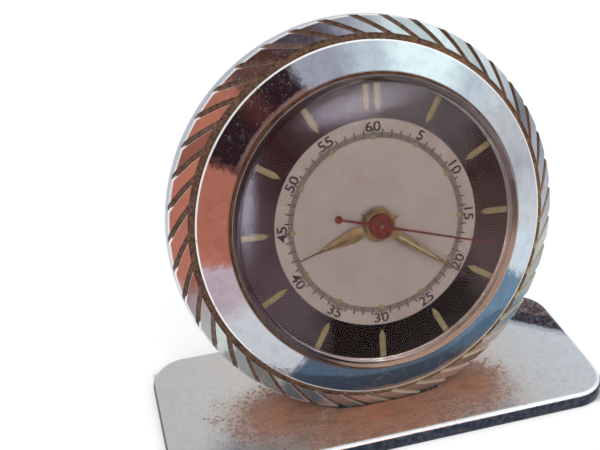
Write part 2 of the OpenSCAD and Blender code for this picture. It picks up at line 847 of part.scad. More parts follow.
module main_plate() {
  low = plate_back - 1;
  high = plate_z + 1;
  color(brass_c) in_case() difference() {
    rod(plate_r, plate_back, plate_z, fn_large);
    pivot_holes(low, high);
    translate(balance_at) rod(pivot_r + run_fit / 2, low, high);
    translate(barrel_at) rod(tube_out_r + run_fit, low, high);
    translate(setting_at) rod(set_shaft_r + run_fit, low, high);
    rod(tube_r + seat_fit, low, high);
    for (a = dial_foot_dirs)
      translate(polar(plate_r - dial_foot_in, a)) rod(dial_foot_r + seat_fit, low, high);
  }
}

module centre_tube() {
  color(steel_c) in_case() {
    ring(seconds_r + run_fit, tube_r, plate_back - tube_flange_t, minute_z - 2 * clear, fn_small);
    ring(seconds_r + run_fit, 2 * tube_r, plate_back - tube_flange_t, plate_back, fn_small);
  }
}

module pillars() {
  color(brass_c) in_case()
    for (a = pillar_dirs)
      translate(polar(pillar_at, a)) difference() {
        rod(pillar_r, cage_back, plate_back);
        rod(screw_r + seat_fit, cage_back - 1, cage_back + plate_screw_depth + clear);
      }
}

module back_plate() {
  low = bridge_back - 1;
  high = cage_back + 1;
  window_r = 5.2;
  color(brass_c) in_case() difference() {
    rod(back_plate_r, bridge_back, cage_back, fn_large);
    pivot_holes(low, high);
    rod(pivot_r + run_fit / 2, low, high);
    translate(balance_at) rod(window_r, low, high, fn_large);
    translate(barrel_at) rod(arbor_shaft_r + run_fit, low, high);
    translate(setting_at) rod(set_shaft_r + run_fit, low, high);
    for (a = pillar_dirs)
      translate(polar(pillar_at, a)) rod(screw_r + run_fit, low, high);
    for (p = cock_screw_places())
      translate(p) rod(screw_r + seat_fit, low, high);
    translate(click_at()) rod(screw_r + seat_fit, low, high);
  }
}

module plate_screws() {
  color(steel_c) in_case()
    for (a = pillar_dirs)
      translate(polar(pillar_at, a)) translate([0, 0, bridge_back]) screw(plate_t + plate_screw_depth);
}

module barrel() {
  toward = dir_of(barrel_at, second_at);
  flange_back = barrel_front - barrel_tooth_t;
  color(brass_c) in_case() translate(barrel_at) {
    translate([0, 0, flange_back]) rotate(toward) linear_extrude(barrel_tooth_t) difference() {
      teeth(barrel_n, barrel_m, wheel_form);
      circle(r = tube_in_r, $fn = fn_small);
    }
    ring(drum_r - drum_t, drum_r, barrel_back, flange_back);
    ring(tube_in_r, tube_out_r, barrel_front, hour_wheel_z + hour_wheel_t, fn_small);
  }
}

module barrel_lid() {
  color(brass_c) in_case() translate(barrel_at)
    ring(arbor_shaft_r + run_fit, drum_r - drum_t - seat_fit, barrel_back, barrel_back + lid_t);
}

// Strip wound inside the drum, with its outer end against the drum's wall
module mainspring() {
  low = barrel_back + lid_t + clear;
  high = barrel_front - barrel_tooth_t - clear;
  color(steel_c) in_case() translate([barrel_at[0], barrel_at[1], low]) linear_extrude(high - low)
    spiral(arbor_hub_r + spring_clear, drum_r - drum_t - spring_t / 2 - seat_fit, spring_turns, spring_t);
}

module barrel_arbor() {
  color(steel_c) in_case() translate(barrel_at) {
    rod(arbor_hub_r, barrel_back + lid_t + clear, barrel_front - barrel_tooth_t - clear);
    rod(tube_core_r, barrel_front - barrel_tooth_t - 2 * clear, hour_wheel_z);
    rod(arbor_shaft_r, knob_back + knob_recess, barrel_back + lid_t + 2 * clear);
  }
}

// Saw toothed wheel that the click holds
module ratchet_wheel() {
  step = 360 / ratchet_n;
  color(steel_c) in_case() translate([barrel_at[0], barrel_at[1], bridge_back - clear - ratchet_t])
    linear_extrude(ratchet_t) difference() {
      polygon([for (i = [0 : ratchet_n - 1]) for (k = [0, 1])
        polar(ratchet_r - (1 - k) * ratchet_d, (i + k * ratchet_lean) * step)]);
      circle(r = arbor_shaft_r + seat_fit, $fn = fn_small);
    }
}

// Place of the click's pivot beside the ratchet wheel
function click_at() = barrel_at + polar(ratchet_r + click_off, click_dir);

// Click whose nose lies just clear of the ratchet's tips
module click() {
  nose = barrel_at + polar(ratchet_r + 2 * clear + click_w / 2, click_dir + click_reach);
  color(steel_c) in_case() translate([0, 0, bridge_back - clear - click_t]) linear_extrude(click_t)
    difference() {
      union() {
        translate(click_at()) circle(r = click_eye_r, $fn = fn_small);
        bar(click_at(), nose, click_w);
      }
      translate(click_at()) circle(r = screw_r + run_fit, $fn = fn_small);
    }
}

module click_screw() {
  color(steel_c) in_case() translate(click_at()) translate([0, 0, bridge_back - click_t - 2 * clear])
    screw(plate_t + click_t);
}

// Wire that presses the click towards the wheel, held in the back plate
module click_spring() {
  foot = click_at() + click_spring_foot;
  tip = click_at() + click_spring_tip;
  color(steel_c) in_case() {
    translate([0, 0, bridge_back - clear - wire_t]) linear_extrude(wire_t) bar(foot, tip, wire_t);
    translate(foot) rod(wire_t, bridge_back - clear - wire_t, bridge_back);
  }
}

// Knob with a fluted edge
module knob(r, bore, flutes) {
  translate([0, 0, knob_back]) linear_extrude(knob_h) difference() {
    circle(r = r, $fn = fn_large);
    for (i = [0 : flutes - 1])
      rotate(i * 360 / flutes) translate([r + flute_out, 0]) circle(r = flute_r, $fn = 16);
    circle(r = bore, $fn = fn_small);
  }
}

module winding_knob() {
  color(brass_c) in_case() translate(barrel_at) knob(wind_r, arbor_shaft_r + seat_fit, wind_flutes);
}

module second_arbor() {
  color(steel_c) in_case() translate(second_at) {
    arbor();
    pinion(second_pinion_n, barrel_m, dir_of(second_at, barrel_at),
      barrel_front - barrel_tooth_t - 3 * clear, barrel_front + clear);
    rod(collet_r, second_wheel_z, second_wheel_z + collet_h);
  }
}

module second_wheel() {
  color(brass_c) in_case() translate([second_at[0], second_at[1], second_wheel_z - wheel_t])
    wheel(second_n, second_m, dir_of(second_at, third_at), wheel_t, arbor_r + seat_fit);
}

module third_arbor() {
  color(steel_c) in_case() translate(third_at) {
    arbor();
    pinion(third_pinion_n, second_m, dir_of(third_at, second_at),
      second_wheel_z - wheel_t - pinion_side, second_wheel_z + pinion_side);
    rod(collet_r, third_wheel_z - wheel_t - collet_h, third_wheel_z - wheel_t);
  }
}

module third_wheel() {
  color(brass_c) in_case() translate([third_at[0], third_at[1], third_wheel_z - wheel_t])
    wheel(third_n, third_m, dir_of(third_at, centre_at), wheel_t, arbor_r + seat_fit);
}

module seconds_arbor() {
  color(steel_c) in_case() {
    rod(seconds_r, cage_back + clear, second_z + boss_h + clear / 2);
    rod(pivot_r, cage_back - pivot_len, cage_back + 2 * clear);
    rod(small_collet_r, third_wheel_z + pinion_side, plate_back - tube_flange_t - clear);
    pinion(fourth_pinion_n, third_m, dir_of(centre_at, third_at),
      third_wheel_z - wheel_t - pinion_side, third_wheel_z + pinion_side);
    rod(collet_r, fourth_wheel_z, fourth_wheel_z + collet_h);
  }
}

module fourth_wheel() {
  color(brass_c) in_case() translate([0, 0, fourth_wheel_z - wheel_t])
    wheel(fourth_n, fourth_m, dir_of(centre_at, escape_at), wheel_t, seconds_r + seat_fit);
}

module escape_arbor() {
  color(steel_c) in_case() translate(escape_at) {
    arbor();
    pinion(escape_pinion_n, fourth_m, dir_of(escape_at, centre_at),
      fourth_wheel_z - wheel_t - pinion_side, fourth_wheel_z + pinion_side);
    rod(small_collet_r, escape_wheel_z - wheel_t - collet_h, escape_wheel_z - wheel_t);
  }
}

module escape_wheel() {
  step = 360 / escape_n;
  root = escape_r * escape_root;
  color(brass_c) in_case() translate([escape_at[0], escape_at[1], escape_wheel_z - wheel_t])
    linear_extrude(wheel_t) difference() {
      polygon([for (i = [0 : escape_n - 1]) for (k = [0 : 3])
        polar(k == 1 || k == 2 ? escape_r : root, (i + escape_tooth[k]) * step)]);
      windows(escape_hub_r, root - wheel_rim, 4, wheel_rim);
      circle(r = arbor_r + seat_fit, $fn = fn_small);
    }
}

// Places of the two pallet pins, clear of the escape wheel's tips at both ends of the lever's swing
function pallet_pin(side) = escape_at + polar(escape_r + pin_out, lever_dir + side * pin_spread);

module pallet_arbor() {
  color(steel_c) in_case() translate(lever_at) {
    arbor();
    rod(small_collet_r, lever_z - lever_t - collet_h, lever_z - lever_t);
  }
}

module pallet_lever() {
  fork_end = lever_at + polar(balance_dist - fork_gap, lever_dir);
  fork_from = lever_at + polar(balance_dist - fork_gap - fork_d, lever_dir);
  color(brass_c) in_case() translate([0, 0, lever_z - lever_t]) linear_extrude(lever_t)
    difference() {
      union() {
        for (s = [-1, 1])
          bar(lever_at, pallet_pin(s), lever_w);
        bar(lever_at, fork_end, fork_w);
      }
      translate(lever_at) circle(r = arbor_r + seat_fit, $fn = fn_small);
      for (s = [-1, 1])
        translate(pallet_pin(s)) circle(r = pin_r + seat_fit, $fn = fn_small);
      translate(fork_from) rotate(lever_dir) translate([0, -fork_slot / 2]) square([2, fork_slot]);
    }
}

module pallet_pins() {
  color(steel_c) in_case()
    for (s = [-1, 1])
      translate(pallet_pin(s)) rod(pin_r, escape_wheel_z - wheel_t - clear, lever_z);
}

module balance_staff() {
  hub_front = balance_z - (balance_h + balance_arm_t) / 2;
  color(steel_c) in_case() translate(balance_at) {
    rod(staff_r, bridge_back + 2 * clear, plate_back - clear);
    rod(pivot_r, bridge_back - pivot_len, plate_back + pivot_len);
    rod(staff_hub_r, hub_front - staff_hub_h, hub_front);
  }
}

module balance_wheel() {
  arm_front = balance_z - (balance_h - balance_arm_t) / 2;
  rim_mid = balance_r - rim_t / 2;
  color(brass_c) in_case() translate(balance_at) {
    ring(balance_r - rim_t, balance_r, balance_z - balance_h, balance_z);
    translate([0, 0, arm_front - balance_arm_t]) linear_extrude(balance_arm_t) difference() {
      bar([-rim_mid, 0], [rim_mid, 0], balance_arm_w);
      circle(r = staff_r + seat_fit, $fn = fn_small);
    }
  }
}

// Roller with its impulse pin, which stops just short of the fork
module roller() {
  color(steel_c) in_case() translate(balance_at) {
    ring(staff_r + seat_fit, roller_r, roller_z - roller_t, roller_z, fn_small);
    translate(polar(impulse_at, lever_dir + 180)) rod(pin_r, roller_z - clear, lever_z - lever_t - clear);
  }
}

module hairspring() {
  color(steel_c) in_case() translate([balance_at[0], balance_at[1], cage_back - clear - spring_h])
    linear_extrude(spring_h) spiral(spring_in_r, spring_out_r, spring_coils, spring_strip);
}

// Bar over the balance, with the stud that holds the spring's outer end
function cock_dir() = dir_of(balance_at, centre_at);
function cock_foot() = balance_at + polar(cock_reach, cock_dir());
function cock_screw_places() = [for (s = [-1, 1]) cock_foot() + polar(cock_screw_off * s, cock_dir() + 90)];

module balance_cock() {
  stud_at = balance_at + polar(spring_out_r + stud_out, 0);
  color(brass_c) in_case() difference() {
    union() {
      translate([0, 0, bridge_back - cock_t]) linear_extrude(cock_t) {
        bar(balance_at, cock_foot(), cock_w);
        for (p = cock_screw_places())
          translate(p) circle(r = cock_foot_r, $fn = fn_small);
        bar(balance_at, stud_at, stud_arm_w);
      }
      translate(balance_at) rod(cock_boss_r, bridge_back - cock_t - cock_boss_h, bridge_back - cock_t / 2);
      translate(stud_at) rod(stud_r, bridge_back - cock_t / 2, cage_back - clear);
    }
    translate(balance_at) rod(pivot_r + run_fit / 2, bridge_back - 5, bridge_back + 1);
    for (p = cock_screw_places())
      translate(p) rod(screw_r + run_fit, bridge_back - 5, bridge_back + 1);
  }
}

module cock_screws() {
  color(steel_c) in_case()
    for (p = cock_screw_places())
      translate(p) translate([0, 0, bridge_back - cock_t]) screw(cock_t + plate_t - clear);
}

// Index that shortens or lengthens the spring
module regulator() {
  front = bridge_back - cock_t - run_fit;
  color(steel_c) in_case() translate([balance_at[0], balance_at[1], front - regulator_t])
    linear_extrude(regulator_t) difference() {
      union() {
        circle(r = cock_boss_r + cock_t, $fn = fn_small);
        bar([0, 0], polar(regulator_len, regulator_dir), regulator_w);
      }
      circle(r = cock_boss_r + run_fit, $fn = fn_small);
    }
}

// Wheel and pinion that turn with the barrel and drive both hands
module motion_wheel() {
  toward = dir_of(barrel_at, centre_at);
  color(brass_c) in_case() translate(barrel_at) difference() {
    union() {
      translate([0, 0, cannon_z]) rotate(toward) linear_extrude(cannon_t)
        teeth(motion_n, motion_m, wheel_form);
      pinion(motion_pinion_n, hour_m, toward, cannon_z + cannon_t, hour_wheel_z + hour_wheel_t);
    }
    rod(tube_out_r + seat_fit, cannon_z - 1, hour_wheel_z + hour_wheel_t + 1);
  }
}

module cannon_pinion() {
  color(steel_c) in_case() difference() {
    union() {
      pinion(cannon_n, motion_m, dir_of(centre_at, barrel_at), cannon_z, cannon_z + cannon_t);
      rod(cannon_pipe_r, plate_z + clear, minute_z + collar_t);
    }
    rod(tube_r + run_fit, plate_z - 1, minute_z + 1);
  }
}

module hour_wheel() {
  color(brass_c) in_case() difference() {
    union() {
      translate([0, 0, hour_wheel_z]) rotate(dir_of(centre_at, barrel_at)) linear_extrude(hour_wheel_t)
        difference() {
          teeth(hour_n, hour_m, wheel_form);
          windows(hour_hub_r, hour_rim_r, 4, spoke_w);
        }
      rod(hour_pipe_r, hour_wheel_z, hour_z + collar_t);
    }
    rod(cannon_pipe_r + run_fit, hour_wheel_z - 1, hour_z + 1);
  }
}

module setting_arbor() {
  to_wheel = dir_of(setting_at, barrel_at);
  step = 360 / motion_n;
  lag = (dir_of(barrel_at, centre_at) - to_wheel - 180) % step;
  color(steel_c) in_case() translate(setting_at) {
    pinion(setting_n, motion_m, to_wheel - lag * motion_n / setting_n, cannon_z, cannon_z + cannon_t);
    rod(set_shaft_r, knob_back + knob_recess, cannon_z + cannon_t + 2 * clear);
    rod(set_collar_r, cage_back + clear, cage_back + clear + collet_h);
    rod(set_collar_r, plate_z + clear, cannon_z);
  }
}

module setting_knob() {
  color(brass_c) in_case() translate(setting_at) knob(set_r, set_shaft_r + seat_fit, set_flutes);
}

base_plate();
case_screws();
case_ring();
bezel();
tension_ring();
crystal();
case_drum();
back_cover();
movement_ring();
dial_plate();
dial_centre();
hour_markers();
minute_dots();
hour_hand();
minute_hand();
seconds_hand();
seconds_boss();
main_plate();
centre_tube();
pillars();
back_plate();
plate_screws();
barrel();
barrel_lid();
mainspring();
barrel_arbor();
ratchet_wheel();
click();
click_screw();
click_spring();
winding_knob();
second_arbor();
second_wheel();
third_arbor();
third_wheel();
seconds_arbor();
fourth_wheel();
escape_arbor();
escape_wheel();
pallet_arbor();
pallet_lever();
pallet_pins();
balance_staff();
balance_wheel();
roller();
hairspring();
balance_cock();
cock_screws();
regulator();
motion_wheel();
cannon_pinion();
hour_wheel();
setting_arbor();
setting_knob();
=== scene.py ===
import logging
import math
from dataclasses import dataclass
from enum import Enum

import bpy
import numpy as np
from mathutils import Matrix, Vector


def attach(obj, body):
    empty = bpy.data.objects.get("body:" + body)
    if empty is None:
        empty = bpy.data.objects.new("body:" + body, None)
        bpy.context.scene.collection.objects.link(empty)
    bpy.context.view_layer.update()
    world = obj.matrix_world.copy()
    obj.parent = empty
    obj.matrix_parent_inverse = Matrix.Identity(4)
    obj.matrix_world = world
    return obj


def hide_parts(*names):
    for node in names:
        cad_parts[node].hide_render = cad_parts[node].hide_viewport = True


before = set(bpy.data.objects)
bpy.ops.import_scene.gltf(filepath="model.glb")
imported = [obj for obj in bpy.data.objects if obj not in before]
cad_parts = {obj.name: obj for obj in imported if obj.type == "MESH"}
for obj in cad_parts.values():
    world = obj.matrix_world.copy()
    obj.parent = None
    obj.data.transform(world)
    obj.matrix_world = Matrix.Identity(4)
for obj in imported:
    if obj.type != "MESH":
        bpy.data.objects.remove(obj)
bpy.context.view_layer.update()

MM = 0.001
LOG = logging.getLogger("desk_clock")
Span = tuple[float, float]
Triple = tuple[float, float, float]


# Shapes

@dataclass
class Shell:
    """Closed surface in millimetres: its points and its faces, each array of faces with one corner count."""

    points: np.ndarray
    faces: list[np.ndarray]

    def joined(self, others: list["Shell"]) -> "Shell":
        """Return this shell and the others as one shell.

        Args:
            others: Shells that are added behind this one.

        Returns:
            One shell with all points and faces.
        """
        points, faces, start = [self.points], list(self.faces), len(self.points)
        for other in others:
            points.append(other.points)
            faces += [f + start for f in other.faces]
            start += len(other.points)
        return Shell(np.concatenate(points), faces)

    def volume(self) -> float:
        """Return the signed volume: the sum over the faces' fans of a . (b x c) / 6."""
        total = 0.0
        for faces in self.faces:
            a = self.points[faces[:, 0]]
            for k in range(1, faces.shape[1] - 1):
                b, c = self.points[faces[:, k]], self.points[faces[:, k + 1]]
                total += float(np.einsum("ij,ij->", a, np.cross(b, c))) / 6
        return total

    def outward(self) -> "Shell":
        """Return the shell with its faces turned so that they point outwards."""
        if self.volume() >= 0:
            return self
        return Shell(self.points, [f[:, ::-1] for f in self.faces])


def grid_faces(rows: int, cols: int, close_rows: bool) -> np.ndarray:
    """Return the quads of a grid of closed rows, whose point (i, j) has the number i * cols + j.

    Args:
        rows: Number of rows.
        cols: Number of points in a row.
        close_rows: True joins the last row to the first.

    Returns:
        Array of quads, one line each.
    """
    i = np.arange(rows if close_rows else rows - 1)[:, None]
    j = np.arange(cols)[None, :]
    i2, j2 = (i + 1) % rows, (j + 1) % cols
    corners = np.broadcast_arrays(i * cols + j, i * cols + j2, i2 * cols + j2, i2 * cols + j)
    return np.stack(corners, axis=-1).reshape(-1, 4)


def ring_shell(points: np.ndarray) -> Shell:
    """Close a grid of points (rows, columns, 3) both ways, as on a torus."""
    rows, cols = points.shape[:2]
    return Shell(points.reshape(-1, 3), [grid_faces(rows, cols, True)]).outward()


def capped_shell(points: np.ndarray) -> Shell:
    """Close a grid whose rows are closed loops with a fan of triangles at its first and at its last row.

    Args:
        points: Grid (rows, columns, 3); each row is one loop.

    Returns:
        Closed shell with one more point in the middle of each end loop.
    """
    rows, cols = points.shape[:2]
    mids = np.stack([points[0].mean(axis=0), points[-1].mean(axis=0)])
    j = np.arange(cols)
    k = (j + 1) % cols
    first = np.stack([np.full(cols, rows * cols), k, j], axis=1)
    last = np.stack([np.full(cols, rows * cols + 1), j + (rows - 1) * cols, k + (rows - 1) * cols], axis=1)
    faces = [grid_faces(rows, cols, False), first, last]
    return Shell(np.concatenate([points.reshape(-1, 3), mids]), faces).outward()


def eased(corners: list[Triple], steps: int = 5, closed: bool = True) -> np.ndarray:
    """Ease the corners of a section with parabolas.

    Each corner P with the ease e is replaced by points (1-t)^2 A + 2t(1-t) P + t^2 B, where A and B lie e
    away from P on its two sides, or just under half of a shorter side.

    Args:
        corners: Points of the section as (first, second, ease).
        steps: Number of steps in each parabola.
        closed: True if the section is a loop.

    Returns:
        Array of points (n, 2).
    """
    out = []
    count = len(corners)
    for n, (a, b, ease) in enumerate(corners):
        here = np.array([a, b])
        if ease <= 0 or (not closed and n in (0, count - 1)):
            out.append(here[None])
            continue
        before, after = (np.array(corners[m % count][:2]) - here for m in (n - 1, n + 1))
        start, stop = (here + side / np.linalg.norm(side) * min(ease, np.linalg.norm(side) * 0.49)
                       for side in (before, after))
        t = np.linspace(0, 1, steps + 1)[:, None]
        out.append((1 - t) ** 2 * start + 2 * t * (1 - t) * here + t ** 2 * stop)
    return np.concatenate(out)


def full_turn(steps: int) -> np.ndarray:
    """Return the angles of equal steps round the axis, as one row."""
    return np.linspace(0, 2 * np.pi, steps, endpoint=False)[None, :]


def about_axis(radius: np.ndarray, angle: np.ndarray, height: np.ndarray,
               middle: Span = (0.0, 0.0)) -> np.ndarray:
    """Return the points (x, y, z) = (r sin a, r cos a, z) about a middle, with a clockwise from the top."""
    x, y = middle[0] + radius * np.sin(angle), middle[1] + radius * np.cos(angle)
    return np.stack([x, y, height + 0 * angle], axis=-1)


def spun(section: np.ndarray, steps: int, middle: Span = (0.0, 0.0)) -> np.ndarray:
    """Return the grid of a section (radius, height) that is turned round the axis, one row for each point."""
    return about_axis(section[:, :1], full_turn(steps), section[:, 1:], middle)


def smooth(low: float, high: float, value: np.ndarray) -> np.ndarray:
    """Return the smooth step 3t^2 - 2t^3 of value between low and high."""
    t = np.clip((value - low) / (high - low), 0, 1)
    return t * t * (3 - 2 * t)


def turn_plane(points: np.ndarray, clockwise_deg: float) -> np.ndarray:
    """Turn points (…, 3) clockwise in the plane of the face by an angle."""
    a = math.radians(clockwise_deg)
    c, s = math.cos(a), math.sin(a)
    x, y, z = points[..., 0], points[..., 1], points[..., 2]
    return np.stack([x * c + y * s, -x * s + y * c, z], axis=-1)


@dataclass(frozen=True)
class CaseFrame:
    """The case's own frame: X right, Y up the face, Z out of the face."""

    tilt: float = 18.7
    base_y: float = -3.53154
    axis_back: float = 4.1
    head_z: float = 30.83009

    @property
    def origin(self) -> np.ndarray:
        """Middle of the case's front circle in the row frame, in millimetres."""
        return np.array([0.0, self.base_y + self.axis_back, self.head_z])

    def to_row(self, points: np.ndarray) -> np.ndarray:
        """Return points of the case's frame in the row frame, in millimetres."""
        s, c = math.sin(math.radians(self.tilt)), math.cos(math.radians(self.tilt))
        x, y, z = points[..., 0], points[..., 1], points[..., 2]
        return np.stack([x, y * s - z * c, y * c + z * s], axis=-1) + self.origin


CASE = CaseFrame()


class Place(Enum):
    """The frame in which a shell's points are given."""

    ROW = "row"
    CASE = "case"


def make_piece(name: str, shell: Shell, place: Place = Place.CASE, sharp: float = 38.0) -> bpy.types.Object:
    """Put a shell into a mesh object at the origin, with its place in its mesh.

    Args:
        name: Name of the object.
        shell: Closed surface in millimetres.
        place: Frame of the shell's points.
        sharp: Edges that turn by more degrees than this stay sharp.

    Returns:
        The new object, linked to the scene.
    """
    points = CASE.to_row(shell.points) if place is Place.CASE else shell.points
    mesh = bpy.data.meshes.new(name)
    mesh.vertices.add(len(points))
    mesh.vertices.foreach_set("co", (points * MM).astype(np.float32).ravel())
    sizes = np.concatenate([np.full(len(f), f.shape[1]) for f in shell.faces])
    corners = np.concatenate([f.ravel() for f in shell.faces])
    mesh.loops.add(len(corners))
    mesh.loops.foreach_set("vertex_index", corners.astype(np.int32))
    mesh.polygons.add(len(sizes))
    mesh.polygons.foreach_set("loop_start", np.concatenate([[0], np.cumsum(sizes)[:-1]]).astype(np.int32))
    mesh.update(calc_edges=True)
    mesh.polygons.foreach_set("use_smooth", np.ones(len(sizes), dtype=bool))
    mesh.set_sharp_from_angle(angle=math.radians(sharp))
    mesh.validate()
    return link(name, mesh)


def link(name: str, data: bpy.types.ID) -> bpy.types.Object:
    """Return a new object with this mesh, curve, lamp or camera, linked to the scene."""
    made = bpy.data.objects.new(name, data)
    bpy.context.scene.collection.objects.link(made)
    return made


def mark_points(piece: bpy.types.Object, name: str, values: np.ndarray) -> None:
    """Store a value from 0 to 1 for each point of a piece.

    Args:
        piece: The object.
        name: Name of the attribute.
        values: One value for each point.
    """
    layer = piece.data.attributes.new(name, "FLOAT", "POINT")
    layer.data.foreach_set("value", values.astype(np.float32))


def dress(thing: bpy.types.Object, material: bpy.types.Material) -> None:
    """Give a piece, or a CAD node that stays in view, its material."""
    thing.data.materials.clear()
    thing.data.materials.append(material)


def fit_piece(piece: bpy.types.Object, material: bpy.types.Material, body: str,
              node: str = "") -> None:
    """Dress a piece, let it ride, and hide the CAD node that it stands for.

    Args:
        piece: The object.
        material: Its material.
        body: Name of the CAD body that it moves with.
        node: CAD node that it replaces, if any.
    """
    dress(piece, material)
    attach(piece, body)
    if node:
        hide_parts(node)
    LOG.info("%s: %d points, %d faces, rides on %s", piece.name, len(piece.data.vertices),
             len(piece.data.polygons), body)


# Node graphs

Colour = Triple
Sector = tuple[float, float, float, float]
Tints = tuple[tuple[float, Colour], ...]


class Value:
    """What a node puts out. Sums with other values or with numbers add Math nodes to its graph."""

    def __init__(self, graph: "Graph", socket: bpy.types.NodeSocket) -> None:
        """Keep the graph and the socket."""
        self.graph = graph
        self.socket = socket

    def __add__(self, other: "Input") -> "Value":
        """Return the sum."""
        return self.graph.math("ADD", self, other)

    def __sub__(self, other: "Input") -> "Value":
        """Return the difference."""
        return self.graph.math("SUBTRACT", self, other)

    def __rsub__(self, other: float) -> "Value":
        """Return a number less this value."""
        return self.graph.math("SUBTRACT", other, self)

    def __mul__(self, other: "Input") -> "Value":
        """Return the product."""
        return self.graph.math("MULTIPLY", self, other)

    def __truediv__(self, other: "Input") -> "Value":
        """Return the quotient."""
        return self.graph.math("DIVIDE", self, other)

    def __abs__(self) -> "Value":
        """Return the value without its sign."""
        return self.graph.math("ABSOLUTE", self)

    def greater(self, other: "Input") -> "Value":
        """Return the greater of this value and another."""
        return self.graph.math("MAXIMUM", self, other)

    def moved(self, shift: "Input") -> "Value":
        """Return a place round the dial moved by a shift, and wrapped to 0 to 1."""
        return self.graph.math("FRACT", self + shift + 1.0)

    def step(self, low: "Input", high: "Input", at_low: float = 0.0, at_high: float = 1.0) -> "Value":
        """Return a smooth step of this value, from at_low where it is low to at_high where it is high."""
        return self.graph.made("ShaderNodeMapRange", dict(enumerate((self, low, high, at_low, at_high))),
                               interpolation_type="SMOOTHSTEP")

    def parts(self, kind: str = "ShaderNodeSeparateXYZ") -> list["Value"]:
        """Return the three parts of a vector, or of a colour with the kind of node for that."""
        node = self.graph.node(kind)
        self.graph.feed(node.inputs[0], self)
        return [Value(self.graph, socket) for socket in node.outputs]


Input = Value | float | tuple[float, ...]


def length(right: Value, up: Value) -> Value:
    """Return the length of a way given by its two parts, the root of the sum of their squares."""
    return right.graph.math("SQRT", right * right + up * up)


class Graph:
    """Short way to write the nodes of a material, of a group or of the world."""

    def __init__(self, tree: bpy.types.NodeTree) -> None:
        """Keep the tree that the nodes go into."""
        self.tree = tree

    def node(self, kind: str, **settings: object) -> bpy.types.Node:
        """Add a node and set its properties."""
        made = self.tree.nodes.new(kind)
        for key, value in settings.items():
            setattr(made, key, value)
        return made

    def feed(self, socket: bpy.types.NodeSocket, value: Input) -> None:
        """Link a value to an input socket, or set the socket's own number, vector or colour."""
        if isinstance(value, Value):
            self.tree.links.new(value.socket, socket)
        elif socket.type == "RGBA":
            socket.default_value = (*value, 1.0)
        else:
            socket.default_value = value

    def made(self, kind: str, inputs: dict[str | int, Input], out: str | int = 0,
             **settings: object) -> Value:
        """Add a node, set its properties, feed its inputs and return an output.

        Args:
            kind: Type of the node.
            inputs: What goes in, by the input's name or number.
            out: Name or number of the output.
            **settings: Properties of the node.

        Returns:
            The output.
        """
        node = self.node(kind, **settings)
        for key, value in inputs.items():
            self.feed(node.inputs[key], value)
        return Value(self, node.outputs[out])

    def math(self, what: str, *values: Input) -> Value:
        """Return the result of a Math node."""
        return self.made("ShaderNodeMath", dict(enumerate(values)), operation=what)

    def mix(self, share: Input, first: Input, second: Input, blend: str = "MIX") -> Value:
        """Return two colours mixed by a share."""
        inputs = {0: share, 6: first, 7: second}
        return self.made("ShaderNodeMix", inputs, 2, data_type="RGBA", blend_type=blend)

    def blend(self, share: Input, first: Input, second: Input) -> Value:
        """Return two numbers mixed by a share."""
        return self.made("ShaderNodeMix", {0: share, 2: first, 3: second}, data_type="FLOAT")

    def noise(self, where: Value, scale: Input, detail: float = 4.0, rough: float = 0.55,
              warp: float = 0.0) -> Value:
        """Return a noise value at a place."""
        return self.made("ShaderNodeTexNoise", {"Vector": where, "Scale": scale, "Detail": detail,
                                                "Roughness": rough, "Distortion": warp})

    def stretch(self, where: Value, scale: Triple, turn: Triple = (0, 0, 0),
                shift: Triple = (0, 0, 0)) -> Value:
        """Return a place scaled, then turned in radians, then shifted."""
        return self.made("ShaderNodeMapping",
                         {"Vector": where, "Location": shift, "Rotation": turn, "Scale": scale})

    def ramp(self, value: Value, stops: Tints) -> Value:
        """Return the colour of a value from 0 to 1 between stops, given as places and colours in order."""
        made = self.node("ShaderNodeValToRGB")
        elements = made.color_ramp.elements
        elements.remove(elements[-1])
        elements[0].position, elements[0].color = stops[0][0], (*stops[0][1], 1)
        for place, colour in stops[1:]:
            elements.new(place).color = (*colour, 1)
        self.feed(made.inputs[0], value)
        return Value(self, made.outputs[0])

    def group(self, tree: bpy.types.NodeTree, **inputs: Input) -> dict[str, Value]:
        """Add a group node, feed its inputs by name and return its outputs by name."""
        node = self.node("ShaderNodeGroup", node_tree=tree)
        for key, value in inputs.items():
            self.feed(node.inputs[key], value)
        return {socket.name: Value(self, socket) for socket in node.outputs}

    def bump(self, height: Value, strength: float, distance: float) -> Value:
        """Return a normal bent by a height, with the distance in metres."""
        return self.made("ShaderNodeBump", {"Height": height, "Strength": strength, "Distance": distance})

    def object_place(self) -> Value:
        """Return the Object coordinates, in metres."""
        return self.made("ShaderNodeTexCoord", {}, "Object")

    def backdrop_rays(self) -> Value:
        """Return 1 for the rays that show the background: camera, glossy and transmission rays."""
        paths = self.node("ShaderNodeLightPath")
        camera, glossy, through = (Value(self, paths.outputs[f"Is {kind} Ray"])
                                   for kind in ("Camera", "Glossy", "Transmission"))
        return camera.greater(glossy).greater(through)


